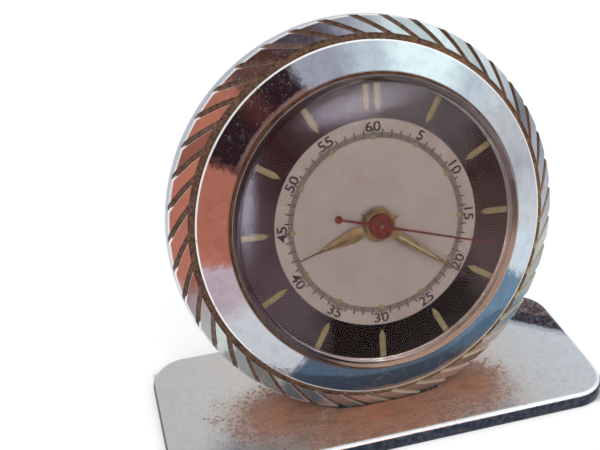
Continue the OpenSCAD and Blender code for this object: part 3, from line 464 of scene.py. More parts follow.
class Effect(Graph):
    """The nodes of a shader node group. Its sockets called Place are vectors, all others are numbers."""

    def __init__(self, name: str, outputs: tuple[str, ...], **inputs: float | None) -> None:
        """Start the group.

        Args:
            name: Name of the group.
            outputs: Names of its outputs.
            **inputs: Default of each input, or None for a place.
        """
        super().__init__(bpy.data.node_groups.new(name, "ShaderNodeTree"))
        for label, default in inputs.items():
            socket = self.socket(label, "INPUT")
            if default is not None:
                socket.default_value = default
        for label in outputs:
            self.socket(label, "OUTPUT")
        self.given = {socket.name: Value(self, socket) for socket in self.node("NodeGroupInput").outputs}
        self.out = self.node("NodeGroupOutput")

    def socket(self, label: str, side: str) -> bpy.types.NodeTreeInterfaceSocket:
        """Add a socket to the group's inputs or outputs."""
        kind = "NodeSocketVector" if label == "Place" else "NodeSocketFloat"
        return self.tree.interface.new_socket(label, in_out=side, socket_type=kind)

    def put_out(self, **values: Value) -> bpy.types.NodeTree:
        """Feed the group's outputs by name and return its tree."""
        for name, value in values.items():
            self.feed(self.out.inputs[name], value)
        return self.tree


def case_place_group() -> bpy.types.NodeTree:
    """Build the group that turns Object coordinates into the case's frame, in millimetres.

    Returns:
        Group with Place, Radius, Turn (clockwise from the top, 0 to 1) and Height.
    """
    g = Effect("case_place", ("Place", "Radius", "Turn", "Height"))
    lean = math.radians(CASE.tilt) - math.pi / 2
    shift = -(Matrix.Rotation(lean, 3, "X") @ Vector(CASE.origin))
    place = g.stretch(g.object_place(), (1 / MM,) * 3, (lean, 0, 0), tuple(shift))
    x, y, z = place.parts()
    turn = (g.math("ARCTAN2", x, y) / (2 * math.pi)).moved(0.0)
    return g.put_out(Place=place, Radius=length(x, y), Turn=turn, Height=z)


def row_place_group() -> bpy.types.NodeTree:
    """Build the group that gives Object coordinates in millimetres and their three parts."""
    g = Effect("row_place", ("Place", "Right", "Back", "Height"))
    place = g.stretch(g.object_place(), (1 / MM,) * 3)
    right, back, height = place.parts()
    return g.put_out(Place=place, Right=right, Back=back, Height=height)


def grime_group() -> bpy.types.NodeTree:
    """Build the group for patches of dirt: a ragged noise cut at a level."""
    g = Effect("grime", ("Mask",), Place=None, Scale=0.4, Level=0.5, Soft=0.08)
    place, scale, level, soft = (g.given[name] for name in ("Place", "Scale", "Level", "Soft"))
    coarse = g.noise(place, scale, 7.0, 0.62, 0.4)
    fine = g.noise(place, scale * 9.0, 4.0, 0.6)
    return g.put_out(Mask=(coarse * 0.8 + fine * 0.2).step(level - soft, level + soft))


def specks_group() -> bpy.types.NodeTree:
    """Build the group for specks: round spots in some of the cells of a cell pattern."""
    g = Effect("specks", ("Mask",), Place=None, Scale=1.0, Size=0.2, Share=0.5)
    cells = g.node("ShaderNodeTexVoronoi")
    g.feed(cells.inputs["Vector"], g.given["Place"])
    g.feed(cells.inputs["Scale"], g.given["Scale"])
    chance, random, _ = Value(g, cells.outputs["Color"]).parts("ShaderNodeSeparateColor")
    size = g.given["Size"] * (random + 0.25)
    spot = Value(g, cells.outputs["Distance"]).step(size, size * 0.5)
    return g.put_out(Mask=spot * g.math("LESS_THAN", chance, g.given["Share"]))


def scratches_group() -> bpy.types.NodeTree:
    """Build the group for fine scratches: thin ridges of stretched noises that cross each other."""
    g = Effect("scratches", ("Mask",), Place=None, Scale=1.0, Width=0.02)
    place, scale = g.given["Place"], g.given["Scale"]
    total = None
    for turn, seed in ((0.5, 3.0), (-0.9, 11.0), (1.45, 23.0)):
        lines = g.stretch(place, (1.0, 0.06, 1.0), (0.0, 0.0, turn), (seed, seed * 0.7, 0.0))
        thin = abs(g.noise(lines, scale, 2.0, 0.4) - 0.5).step(g.given["Width"], 0.0)
        part = thin * g.noise(place, scale * 0.31).step(0.5, 0.62)
        total = part if total is None else total.greater(part)
    return g.put_out(Mask=total)


def grain_group() -> bpy.types.NodeTree:
    """Build the group for turned or brushed grain: noise that varies quickly along one value alone."""
    g = Effect("grain", ("Value",), Along=0.0, Scale=20.0)
    inputs = {"W": g.given["Along"] * g.given["Scale"], "Scale": 1.0, "Detail": 6.0, "Roughness": 0.7}
    return g.put_out(Value=g.made("ShaderNodeTexNoise", inputs, noise_dimensions="1D"))


CASE_PLACE = case_place_group()
ROW_PLACE = row_place_group()
GRIME = grime_group()
SPECKS = specks_group()
SCRATCHES = scratches_group()
GRAIN = grain_group()


class Surface(Graph):
    """The nodes of a material: its Principled shader, its colour so far, and a point's place on the clock."""

    def __init__(self, name: str, place: bpy.types.NodeTree = CASE_PLACE, colour: Input = (1, 1, 1)) -> None:
        """Start a material with a Principled shader and an output.

        Args:
            name: Name of the material.
            place: Group that gives the place of a point.
            colour: Its first colour.
        """
        self.material = bpy.data.materials.new(name)
        self.material.use_nodes = True
        super().__init__(self.material.node_tree)
        self.tree.nodes.clear()
        self.shader = self.node("ShaderNodeBsdfPrincipled")
        self.output = self.node("ShaderNodeOutputMaterial")
        self.tree.links.new(self.shader.outputs[0], self.output.inputs[0])
        self.at = self.group(place)
        self.colour = colour

    def cloud(self, scale: float, detail: float = 4.0, rough: float = 0.55, warp: float = 0.0) -> Value:
        """Return a noise at the point's place."""
        return self.noise(self.at["Place"], scale, detail, rough, warp)

    def wander(self, scale: float, detail: float = 4.0, rough: float = 0.55, warp: float = 0.0) -> Value:
        """Return a noise at the point's place that goes to both sides of 0."""
        return self.cloud(scale, detail, rough, warp) - 0.5

    def sector(self, sector: Sector) -> Value:
        """Return the mask of a sector of the dial.

        Args:
            sector: Places round the dial, 0 to 1 clockwise: where the mask is 0, where it has risen to 1,
                where it is 0 again, and where it begins to fall.

        Returns:
            The product of the two smooth steps.
        """
        return self.at["Turn"].step(*sector[:2]) * self.at["Turn"].step(*sector[2:])

    def grime(self, scale: float, level: float, soft: float) -> Value:
        """Return the mask of patches of dirt."""
        return self.group(GRIME, Place=self.at["Place"], Scale=scale, Level=level, Soft=soft)["Mask"]

    def specks(self, scale: float, size: float, share: float) -> Value:
        """Return the mask of round specks in a share of the cells."""
        return self.group(SPECKS, Place=self.at["Place"], Scale=scale, Size=size, Share=share)["Mask"]

    def scratches(self, scale: float, width: float) -> Value:
        """Return the mask of fine scratches."""
        return self.group(SCRATCHES, Place=self.at["Place"], Scale=scale, Width=width)["Mask"]

    def marked(self, name: str) -> Value:
        """Return the value that the mesh holds for the point under a name."""
        return self.made("ShaderNodeAttribute", {}, "Fac", attribute_name=name)

    def lay(self, mask: Input, tint: Input, share: float = 1.0) -> None:
        """Lay a tint over the colour so far.

        Args:
            mask: Where the tint lies, from 0 to 1.
            tint: Colour that is laid.
            share: Greatest share of the tint.
        """
        self.colour = self.mix(mask if share == 1.0 else mask * share, self.colour, tint)

    def shade(self, **inputs: Input) -> bpy.types.Material:
        """Feed the colour and other inputs of the shader, and return the material.

        Args:
            **inputs: Values by the names of the inputs, with _ for a space.

        Returns:
            The material.
        """
        for name, value in {"Base_Color": self.colour, **inputs}.items():
            self.feed(self.shader.inputs[name.replace("_", " ")], value)
        return self.material


def around(tints: Tints) -> Tints:
    """Turn tints given in degrees clockwise from the top into the stops of a ramp that meets at the top."""
    return (*((degrees / 360, colour) for degrees, colour in tints), (1.0, tints[0][1]))


# Finishes

@dataclass(frozen=True)
class Notches:
    """The notches across the ring's chamfer, which both the ring's shape and its finish follow."""

    count: int = 41
    depth: float = 0.74
    width: float = 0.8
    first: float = 0.9
    run: float = 10.0
    outer: float = 31.0
    inner: float = 28.3


NOTCHES = Notches()


@dataclass(frozen=True)
class AgedChrome:
    """Polished chrome on the case, with painted reflections of the room whose tints change round the dial."""

    name: str
    # tints: painted reflections of the room, by degrees round the dial
    tints: Tints
    roughness: float
    ragged: float
    edge: Span = (27.06, 27.18)
    cloudy: Colour = (0.86, 0.86, 0.88)
    haze: Colour = (0.5, 0.42, 0.42)
    dark_speck: Colour = (0.12, 0.09, 0.08)
    pale_speck: Colour = (0.55, 0.5, 0.52)
    pale_sector: Sector = (0.80, 0.86, 0.98, 0.94)
    scratch: Colour = (0.75, 0.78, 0.82)
    whole_sector: Sector = (0.70, 0.72, 0.87, 0.85)
    # line: colour of the painted highlight along the outer edge
    line: Colour = (0.86, 0.85, 0.84)
    # Painted reflection: the base's brown mirrored in the bezel's outer foot at the bottom.
    base_reflection_at_foot: Colour = (0.34, 0.26, 0.23)
    foot_sector: Sector = (0.37, 0.43, 0.545, 0.50)
    smear: Colour = (0.23, 0.135, 0.125)
    smear_sector: Sector = (0.82, 0.845, 0.95, 0.93)
    # Dark brown laid along the bezel's inner edge, by the crystal's seat.
    inner_edge_brown: Colour = (0.11, 0.055, 0.035)
    low_sector: Sector = (0.24, 0.32, 0.64, 0.56)
    dull_sector: Sector = (0.38, 0.46, 0.604, 0.598)

    def border(self, s: Surface) -> Value:
        """Return the place round the dial, moved by fine streaks so that tints meet in ragged borders."""
        polar = s.made("ShaderNodeCombineXYZ", {0: s.at["Radius"] * 0.9, 1: s.at["Turn"] * 130.0})
        streak = s.noise(polar, 1.0, 8.0, 0.72, 0.6) - 0.5
        slow = s.wander(0.16, 3.0, 0.5)
        return s.at["Turn"].moved(streak * (self.ragged * 2) + slow * (self.ragged * 2))

    def age(self, s: Surface) -> Value:
        """Lay clouds, haze, dark and pale specks and scratches over the colour, and return the roughness."""
        cloud = s.cloud(0.45, 7.0, 0.68)
        s.lay(cloud.step(0.42, 0.68), s.mix(1.0, s.colour, self.cloudy, "MULTIPLY"))
        s.lay(s.grime(1.1, 0.6, 0.08), self.haze, 0.10)
        s.lay(s.specks(2.2, 0.16, 0.3), self.dark_speck, 0.55)
        s.lay(s.specks(2.6, 0.17, 0.6) * s.sector(self.pale_sector), self.pale_speck, 0.75)
        thin = s.scratches(0.9, 0.012) * (1.0 - s.sector(self.whole_sector))
        s.lay(thin, self.scratch, 0.12)
        return s.blend(thin, s.blend(cloud, self.roughness * 0.6, self.roughness * 1.6), 0.4)

    def painted_edge_highlight(self, s: Surface) -> Value:
        """Lay a painted highlight, a thin bright line along the outer edge, a little broken, and return its
        mask.
        """
        mask = s.at["Radius"].step(*self.edge) * (s.cloud(1.3, 3.0).step(0.24, 0.38) * 0.9)
        s.lay(mask, self.line)
        return mask

    def build(self) -> bpy.types.Material:
        """Build the material.

        Returns:
            Material with ragged painted reflections round the case, a painted reflection of the base at the
            foot, specks, scratches and a painted highlight along the edge.
        """
        s = Surface(self.name)
        # Painted reflection: the colour round the dial copies what the chrome mirrors there.
        s.colour = s.ramp(self.border(s), around(self.tints))
        worn = s.at["Radius"] + s.wander(0.8, 5.0) * 0.9
        # Painted reflection of the base's brown on the outer foot, at the bottom of the dial.
        s.lay(s.sector(self.foot_sector) * worn.step(26.35, 26.75), self.base_reflection_at_foot)
        s.lay(s.sector(self.smear_sector) * worn.step(23.65, 23.2), self.smear, 0.75)
        rough = self.age(s)
        # Painted highlight along the outer edge.
        line = self.painted_edge_highlight(s)
        # Dark brown along the bezel's inner edge.
        s.lay(s.at["Radius"].step(23.0, 22.85), self.inner_edge_brown, 0.75)
        dull = (line * s.sector(self.low_sector)).greater(s.sector(self.dull_sector) * 0.6)
        return s.shade(Metallic=s.blend(dull, 1.0, 0.1), Roughness=rough,
                       Normal=s.bump(s.cloud(0.22, 3.0, 0.5), 0.3, 0.0004))


@dataclass(frozen=True)
class NotchedChrome(AgedChrome):
    """Chrome of the notched ring with painted reflections: each land between notches has its own tone, the
    notch walls have painted highlights, and the grooves hold dirt.
    """

    edge: Span = (30.72, 30.9)
    # Painted reflection on the outer wall: blue-grey, in two tones.
    wall: Colour = (0.275, 0.31, 0.375)
    darker_wall_reflection: Colour = (0.23, 0.265, 0.325)
    # Painted highlights on the notch walls, golder on the lower right.
    lip: Colour = (0.78, 0.75, 0.74)
    gold_notch_highlight: Colour = (0.86, 0.80, 0.66)
    dirt: Colour = (0.075, 0.032, 0.016)
    pale_dirt: Colour = (0.21, 0.11, 0.065)
    grains: Colour = (0.36, 0.23, 0.155)
    rusty_grains: Colour = (0.38, 0.21, 0.11)
    gold_grains: Colour = (0.55, 0.40, 0.20)
    rusty_sector: Sector = (0.03, 0.10, 0.30, 0.25)
    gold_sector: Sector = (0.20, 0.27, 0.56, 0.48)
    foot_sector: Sector = (0.36, 0.44, 0.66, 0.60)

    def land_values(self, s: Surface) -> tuple[Value, Value]:
        """Return two random values of a land: the number of notches passed, as they lean, drives a noise."""
        pitch = 360.0 / NOTCHES.count
        share = (NOTCHES.outer - s.at["Radius"]) / (NOTCHES.outer - NOTCHES.inner)
        along = s.at["Turn"] * float(NOTCHES.count) - share * (NOTCHES.run / pitch)
        number = s.math("FLOOR", along - NOTCHES.first / pitch)
        wrapped = s.math("MODULO", number + 2.0 * NOTCHES.count, float(NOTCHES.count))
        random = s.made("ShaderNodeTexWhiteNoise", {"W": wrapped + 0.5}, "Color", noise_dimensions="1D")
        one, two, _ = random.parts("ShaderNodeSeparateColor")
        return one, two

    def dirt_colour(self, s: Surface, grain: Value, rusty: Value, gold: Value) -> Value:
        """Return the colour of the dirt in the grooves.

        Args:
            s: The surface.
            grain: Fine noise.
            rusty: Mask of the sector with rusty grains.
            gold: Mask of the sector with gold grains.

        Returns:
            Brown patches under three layers of grains.
        """
        colour = s.mix(s.grime(1.6, 0.49, 0.07), self.dirt, self.pale_dirt)
        colour = s.mix(grain.step(0.52, 0.70) * 0.7, colour, self.grains)
        colour = s.mix(rusty * grain.step(0.44, 0.60), colour, self.rusty_grains)
        return s.mix(gold * grain.step(0.40, 0.56) * 0.8, colour, self.gold_grains)

    def build(self) -> bpy.types.Material:
        """Build the material.

        Returns:
            Material with a tone for each land, a painted blue-grey reflection on the wall, and dirt where the
            attribute groove is high.
        """
        s = Surface(self.name)
        one, two = self.land_values(s)
        s.colour = s.ramp(self.border(s).moved((one - 0.5) * 0.03), around(self.tints))
        shade = s.blend(two, 0.62, 1.18)
        grey = s.made("ShaderNodeCombineColor", {channel: shade for channel in range(3)})
        s.colour = s.mix(1.0, s.colour, grey, "MULTIPLY")
        rough = self.age(s)
        # Painted highlight along the ring's outer edge.
        self.painted_edge_highlight(s)
        # Painted reflection on the outer wall and back face: blue-grey.
        wall = s.at["Radius"].step(30.97, 31.0).greater(s.at["Height"].step(-4.0, -4.15))
        s.lay(wall, s.mix(s.cloud(0.8), self.wall, self.darker_wall_reflection))
        groove, grain = s.marked("groove"), s.cloud(7.5, 4.0, 0.7)
        rusty, gold = s.sector(self.rusty_sector), s.sector(self.gold_sector)
        # In the rusty sector the dirt reaches further up the notch walls: there it stands for their painted
        # shade as well as their dirt.
        filled = (groove + (grain - 0.5) * 0.5).step(s.blend(rusty, 0.72, 0.22), s.blend(rusty, 0.92, 0.50))
        # Painted highlight: a thin bright line down the notches' walls, golder on the lower right.
        line = groove.step(0.004, 0.05) * s.blend(wall, 0.9, 0.15)
        s.lay(line, s.mix(gold, self.lip, self.gold_notch_highlight))
        s.lay(filled, self.dirt_colour(s, grain, rusty, gold))
        dull = (line * gold).greater(s.sector(self.foot_sector) * 0.75)
        height = s.cloud(0.22, 3.0) * 4.0 + grain * filled * 0.6
        return s.shade(Metallic=s.blend(filled, s.blend(dull, 1.0, 0.15), 0.0),
                       Roughness=s.blend(filled, rough, 0.85), Normal=s.bump(height, 0.3, 0.0001))


@dataclass(frozen=True)
class PlainMetal:
    """Turned or polished metal with fine grain and small stains."""

    name: str
    colour: Colour
    stain: Colour
    roughness: float = 0.3
    grain: float = 24.0
    # lower: painted light, a lighter colour from 3 to 7 o'clock
    lower: Colour | None = None
    low_sector: Sector = (0.24, 0.32, 0.60, 0.54)

    def build(self) -> bpy.types.Material:
        """Build the material and return it; if lower is given, that colour is laid from 3 to 7 o'clock as
        painted light.
        """
        s = Surface(self.name, colour=self.colour)
        rings = s.group(GRAIN, Along=s.at["Radius"], Scale=self.grain)["Value"]
        dirt = s.grime(0.5, 0.56, 0.1)
        s.lay(dirt, self.stain, 0.7)
        s.lay(rings, self.stain, 0.3)
        # Painted light from 3 to 7 o'clock.
        if self.lower is not None:
            s.lay(s.sector(self.low_sector), self.lower)
        return s.shade(Metallic=1.0, Roughness=s.blend(dirt, self.roughness, self.roughness + 0.25),
                       Normal=s.bump(rings, 0.15, 0.00005))


@dataclass(frozen=True)
class Lacquer:
    """Matt or satin paint with clouds of another shade and fine specks."""

    name: str
    colour: Colour
    cloudy: Colour
    speck: Colour
    roughness: float
    scale: float = 0.4
    speck_share: float = 0.3
    shine: float = 0.15

    def build(self) -> bpy.types.Material:
        """Build the material and return it."""
        s = Surface(self.name, colour=self.colour)
        cloud = s.cloud(self.scale, 6.0, 0.6)
        s.lay(cloud.step(0.35, 0.7), self.cloudy)
        s.lay(s.specks(3.0, 0.2, self.speck_share), self.speck, 0.6)
        return s.shade(Roughness=s.blend(cloud, self.roughness, self.roughness + 0.15),
                       Specular_IOR_Level=self.shine, Normal=s.bump(cloud, 0.1, 0.00005))


@dataclass(frozen=True)
class HandGilt:
    """Dull gilt of a hand, with stains, and the floor of its slot in a shade of its own."""

    name: str
    floor: Colour
    bars: bool
    bar_pitch: float = 0.75
    gilt: Colour = (0.19, 0.125, 0.062)
    dull_gilt: Colour = (0.105, 0.062, 0.03)
    stain: Colour = (0.09, 0.05, 0.03)

    def build(self) -> bpy.types.Material:
        """Build the material and return it; bars break the floor's shade up along the hand."""
        s = Surface(self.name, colour=self.gilt)
        cloud = s.cloud(0.9, 6.0, 0.65)
        s.lay(cloud.step(0.35, 0.68), self.dull_gilt)
        s.lay(s.specks(3.0, 0.2, 0.5), self.stain, 0.6)
        low = s.marked("slot_floor").step(0.25, 0.6)
        if self.bars:
            wave = s.math("SINE", s.at["Radius"] * (2 * math.pi / self.bar_pitch))
            low = low * wave.step(-0.9, -0.5)
        s.lay(low, self.floor)
        return s.shade(Metallic=s.blend(low, 1.0, 0.0), Roughness=s.blend(cloud, 0.34, 0.52),
                       Normal=s.bump(cloud, 0.15, 0.00005))


@dataclass(frozen=True)
class DialBrown:
    """Dark purple-brown lacquer of the dial, whose tints round the dial are painted light: greyer as a
    painted haze of reflected light, and near black as painted shade at the foot.
    """

    name: str = "dial_brown"
    # Painted light: greyer where a haze of reflected light lies, near black as painted shade at the foot.
    tints: Tints = (
        (0, (0.06, 0.045, 0.04)), (40, (0.062, 0.05, 0.05)), (70, (0.022, 0.008, 0.008)),
        (100, (0.038, 0.022, 0.018)), (118, (0.05, 0.03, 0.03)), (135, (0.004, 0.001, 0.0005)),
        (205, (0.004, 0.001, 0.0005)), (225, (0.055, 0.04, 0.045)), (250, (0.055, 0.034, 0.038)),
        (285, (0.035, 0.018, 0.020)), (315, (0.018, 0.005, 0.004)), (345, (0.04, 0.026, 0.026)))
    dust: Colour = (0.4, 0.33, 0.28)
    # Painted reflection of the crystal's wall on the dial's rim: pinkish tan from 3 to 7 o'clock, greyer at
    # the upper right.
    low_rim_reflection: Colour = (0.26, 0.185, 0.14)
    low_sector: Sector = (0.22, 0.32, 0.62, 0.52)
    high_rim_reflection: Colour = (0.12, 0.085, 0.08)

    def build(self) -> bpy.types.Material:
        """Build the material and return it."""
        s = Surface(self.name)
        s.at["Turn"] = s.at["Turn"].moved(s.wander(0.2, 3.0) * 0.1)
        # Painted haze and painted shade round the dial.
        s.colour = s.ramp(s.at["Turn"], around(self.tints))
        s.lay(s.specks(2.6, 0.14, 0.3), self.dust, 0.25)
        # Painted reflection of the crystal's wall on the dial's rim.
        s.lay(s.sector(self.low_sector) * s.at["Radius"].step(21.5, 21.8), self.low_rim_reflection)
        s.lay(s.at["Turn"].step(0.26, 0.20) * s.at["Radius"].step(21.4, 21.7), self.high_rim_reflection)
        return s.shade(Roughness=s.blend(s.cloud(0.5), 0.6, 0.8), Specular_IOR_Level=0.0)


@dataclass(frozen=True)
class BaseChrome:
    """Chrome plate of the base, with painted reflections, rusty dust under the ring that is partly a painted
    sheen, a dark band at the back that is a painted reflection, and fine specks.

    The plate's painted reflection tints run from left to right, and a dusty oval is (x, y, half width, half
    depth).
    """

    name: str = "base_chrome"
    plate_width: float = 80.0
    # Painted reflection: the plate's tints, from grey at the left to blue at the right.
    plate: Tints = (
        (0.0, (0.45, 0.45, 0.47)), (0.15, (0.50, 0.495, 0.49)), (0.3, (0.53, 0.49, 0.46)),
        (0.6, (0.52, 0.44, 0.39)), (0.75, (0.50, 0.47, 0.46)), (0.85, (0.50, 0.53, 0.56)),
        (1.0, (0.52, 0.57, 0.62)))
    mottle: Colour = (0.36, 0.34, 0.35)
    dusty: tuple[Sector, ...] = ((-1.5, -13.0, 24.0, 11.5), (13.5, -10.0, 9.5, 9.0), (-16.5, -8.0, 13.0, 9.5))
    tan: Colour = (0.56, 0.37, 0.285)
    deep_tan: Colour = (0.56, 0.25, 0.135)
    # Painted reflection: saturated orange nearest the ring's foot.
    reflected_orange: Colour = (0.62, 0.20, 0.075)
    # Painted shade: darker streaks along the sheet's ripples.
    ripple_shade: Colour = (0.20, 0.10, 0.065)
    powder: Colour = (0.44, 0.22, 0.14)
    dark_powder: Colour = (0.18, 0.066, 0.032)
    speck: Colour = (0.16, 0.12, 0.11)
    scratch: Colour = (0.28, 0.24, 0.23)
    # Painted highlight on the fold.
    fold_highlight: Colour = (0.80, 0.85, 0.88)
    # Painted reflection on the downturned rim: dark slate blue, mottled.
    rim: Colour = (0.02, 0.032, 0.05)
    pale_rim: Colour = (0.065, 0.065, 0.08)
    # Painted dark reflection across the right back corner, with a bluish edge.
    dark_reflection_edge: Colour = (0.20, 0.24, 0.31)
    band: tuple[Colour, Colour] = ((0.020, 0.013, 0.022), (0.10, 0.095, 0.12))
    strip: tuple[Colour, Colour] = ((0.06, 0.045, 0.05), (0.24, 0.19, 0.17))

    def dust(self, s: Surface) -> tuple[Value, Value]:
        """Return how far inside the dusty ovals a point is, and the powdery mask.

        The first is the greatest, over the ovals, of 1 minus the length of the way from the oval's middle in
        shares of its halves. The mask is that plus a coarse and a fine noise, cut by a smooth step.
        """
        inside = None
        for x, y, wide, deep in self.dusty:
            part = 1.0 - length((s.at["Right"] - x) / wide, (s.at["Back"] - y) / deep)
            inside = part if inside is None else inside.greater(part)
        total = inside + s.wander(0.3, 5.0, 0.6, 0.3) * 1.3 + s.wander(1.9, 7.0, 0.8) * 3.4
        return inside, total.step(0.30, 0.52)

    def lay_back_dark_reflection(self, s: Surface) -> None:
        """Lay a painted dark reflection, the dark ragged band with a beige strip behind it, that crosses the
        right back corner.
        """
        rough = s.wander(1.4, 6.0, 0.72)
        across = s.at["Right"] * 0.62 + s.at["Back"] * 0.78 + rough * 2.4
        s.lay(across.step(18.6, 19.8), self.dark_reflection_edge, 0.6)
        s.lay(across.step(19.9, 20.6), s.mix(rough.step(-0.05, 0.12), *self.band))
        s.lay(across.step(23.0, 23.8), s.mix(rough.step(-0.06, 0.1), *self.strip), 0.85)

    def lay_dust(self, s: Surface, grain: Value) -> Value:
        """Lay the tan film, partly rust and partly a painted sheen, and the brown powder of the dusty ovals.

        Args:
            s: The surface.
            grain: Fine noise.

        Returns:
            Mask of the places that the dust and the painted sheen make dull.
        """
        inside, powder = self.dust(s)
        # The film is partly rust and partly a painted sheen: a painted reflection of the ring's brown foot,
        # orange nearest it.
        film = s.mix(inside.step(0.25, 0.8), self.tan, self.deep_tan)
        film = s.mix(inside.step(0.82, 0.98), film, self.reflected_orange)
        # Painted shade of the sheet's ripples.
        ripple_shade = s.noise(s.stretch(s.at["Place"], (0.35, 1.0, 1.0), (0, 0, 0.28)), 0.9, 4.0, 0.6)
        film = s.mix(ripple_shade.step(0.50, 0.60) * 0.55, film, self.ripple_shade)
        sheen = inside.step(0.0, 0.75) * 0.85
        s.lay(sheen, film)
        loose = powder * inside.step(0.9, 0.35, 0.55, 1.0) * grain.step(0.36, 0.5, 0.35, 0.85)
        s.lay(loose, s.mix(grain.step(0.40, 0.62), self.powder, self.dark_powder))
        return powder.greater(sheen) * s.at["Height"].step(2.3, 2.45)

    def build(self) -> bpy.types.Material:
        """Build the material and return it."""
        s = Surface(self.name, ROW_PLACE)
        right, back, height = (s.at[name] for name in ("Right", "Back", "Height"))
        along = right + s.wander(0.2, 5.0, 0.6) * 12.0
        # Painted reflection across the plate, from left to right.
        s.colour = s.ramp(along / self.plate_width + 0.5, self.plate)
        mottle, grain = s.cloud(1.1, 6.0, 0.7), s.cloud(4.5, 5.0, 0.75)
        s.lay(mottle.step(0.45, 0.7), self.mottle, 0.3)
        self.lay_back_dark_reflection(s)
        dusty = self.lay_dust(s, grain)
        s.lay(s.specks(1.5, 0.15, 0.45), self.speck, 0.65)
        hair = s.scratches(0.7, 0.01)
        s.lay(hair, self.scratch, 0.35)
        # Painted highlight: a bright, broken line on the fold along the front and round the right front
        # corner.
        fold = height.step(2.49, 2.42) * height.step(2.14, 2.26)
        front = back.step(-14.5, -16.0).greater(right.step(33.5, 35.0) * back.step(-9.0, -13.0))
        s.lay(fold * front * mottle.step(0.25, 0.5, 0.5, 0.95), self.fold_highlight)
        # Painted reflection on the downturned rim.
        rim_reflection = s.mix(s.cloud(0.9, 6.0, 0.7).step(0.4, 0.62), self.rim, self.pale_rim)
        s.lay(height.step(2.2, 2.06), rim_reflection)
        wave = s.cloud(0.12, 2.0) * 6.0 + grain * 0.25
        return s.shade(Metallic=s.blend(dusty, 1.0, 0.25), Normal=s.bump(wave, 0.3, 0.0001),
                       Roughness=s.blend(dusty, s.blend(hair, 0.26, 0.45), 0.6))


@dataclass(frozen=True)
class ClearAcrylic:
    """Clear domed acrylic with faint scratches, browner in its wall, and lighter in its wall from 3 to 7
    o'clock as painted light.
    """

    name: str = "clear_acrylic"
    clear: Colour = (0.99, 0.985, 0.98)
    wall: Colour = (0.62, 0.54, 0.51)
    low_wall_light: Colour = (0.92, 0.80, 0.72)
    low_sector: Sector = (0.22, 0.30, 0.60, 0.54)
    mirrored: Colour = (0.085, 0.083, 0.093)
    let_through: Colour = (0.97, 0.96, 0.96)

    def build(self) -> bpy.types.Material:
        """Build the material: a clear Principled node behind a shader that lets light through for shadows.

        Returns:
            The material.
        """
        s = Surface(self.name)
        # Painted light: the wall lighter from 3 to 7 o'clock.
        wall = s.mix(s.sector(self.low_sector), self.wall, self.low_wall_light)
        s.colour = s.mix(s.at["Radius"].step(21.55, 22.2), self.clear, wall)
        shadow = s.made("ShaderNodeLightPath", {}, "Is Shadow Ray")
        through = s.made("ShaderNodeBsdfTransparent", {0: self.let_through})
        both = s.made("ShaderNodeMixShader", {0: shadow, 1: Value(s, s.shader.outputs[0]), 2: through})
        s.feed(s.output.inputs[0], both)
        return s.shade(Transmission_Weight=1.0, IOR=1.45, Specular_Tint=self.mirrored,
                       Roughness=s.blend(s.scratches(1.1, 0.008), 0.09, 0.2))


# Painted reflections: the tints that the chrome mirrors from the room, as linear colours
WHITE_BLUE: Colour = (0.63, 0.76, 0.79)
DAY_BLUE: Colour = (0.40, 0.47, 0.52)
PALE_BLUE: Colour = (0.52, 0.60, 0.66)
COOL_GREY: Colour = (0.40, 0.42, 0.47)
STEEL_BLUE: Colour = (0.11, 0.19, 0.27)
SLATE: Colour = (0.055, 0.10, 0.16)
DEEP_BLUE: Colour = (0.052, 0.098, 0.145)
PALE_GREY: Colour = (0.50, 0.52, 0.55)
PINK_GREY: Colour = (0.41, 0.33, 0.37)
BRICK: Colour = (0.38, 0.135, 0.095)
DEEP_RED: Colour = (0.062, 0.022, 0.020)
NEAR_BLACK: Colour = (0.024, 0.012, 0.016)
DARK_RED: Colour = (0.11, 0.05, 0.045)
DUSK: Colour = (0.07, 0.052, 0.066)
LAVENDER: Colour = (0.25, 0.265, 0.32)
BEIGE: Colour = (0.50, 0.34, 0.28)
FOOT_SLATE: Colour = (0.14, 0.18, 0.21)
PALE_GREEN: Colour = (0.46, 0.50, 0.48)


def bands(*stretches: tuple[Colour | int, ...]) -> Tints:
    """Return the tints of stretches, each a colour and the one or two degrees that it lies at."""
    return tuple((degrees, colour) for colour, *ends in stretches for degrees in ends)


BEZEL_REFLECTIONS = bands(
    (DAY_BLUE, 0, 6), (WHITE_BLUE, 14, 30), (DAY_BLUE, 42), (PALE_GREY, 60), (COOL_GREY, 76), (PALE_GREY, 96),
    (PALE_BLUE, 104, 116), (STEEL_BLUE, 119, 146), (SLATE, 160), (DEEP_BLUE, 172, 186), (SLATE, 198, 216),
    (PALE_GREY, 218, 242), (PINK_GREY, 252, 263), (BRICK, 265, 298), (NEAR_BLACK, 300, 314),
    (DEEP_RED, 319, 323), (NEAR_BLACK, 327, 337), (LAVENDER, 339, 352))
RING_REFLECTIONS = bands(
    (LAVENDER, 0, 4), (COOL_GREY, 10), (WHITE_BLUE, 16, 34), (PALE_BLUE, 50), (LAVENDER, 66), (COOL_GREY, 96),
    (PALE_GREEN, 112), (STEEL_BLUE, 124), (PALE_GREY, 138), (BEIGE, 150, 198), (FOOT_SLATE, 203, 213),
    (PALE_GREEN, 218, 248), (PINK_GREY, 258), (BRICK, 264, 316), (DARK_RED, 321, 334), (DUSK, 341, 351))


# Sub-assemblies

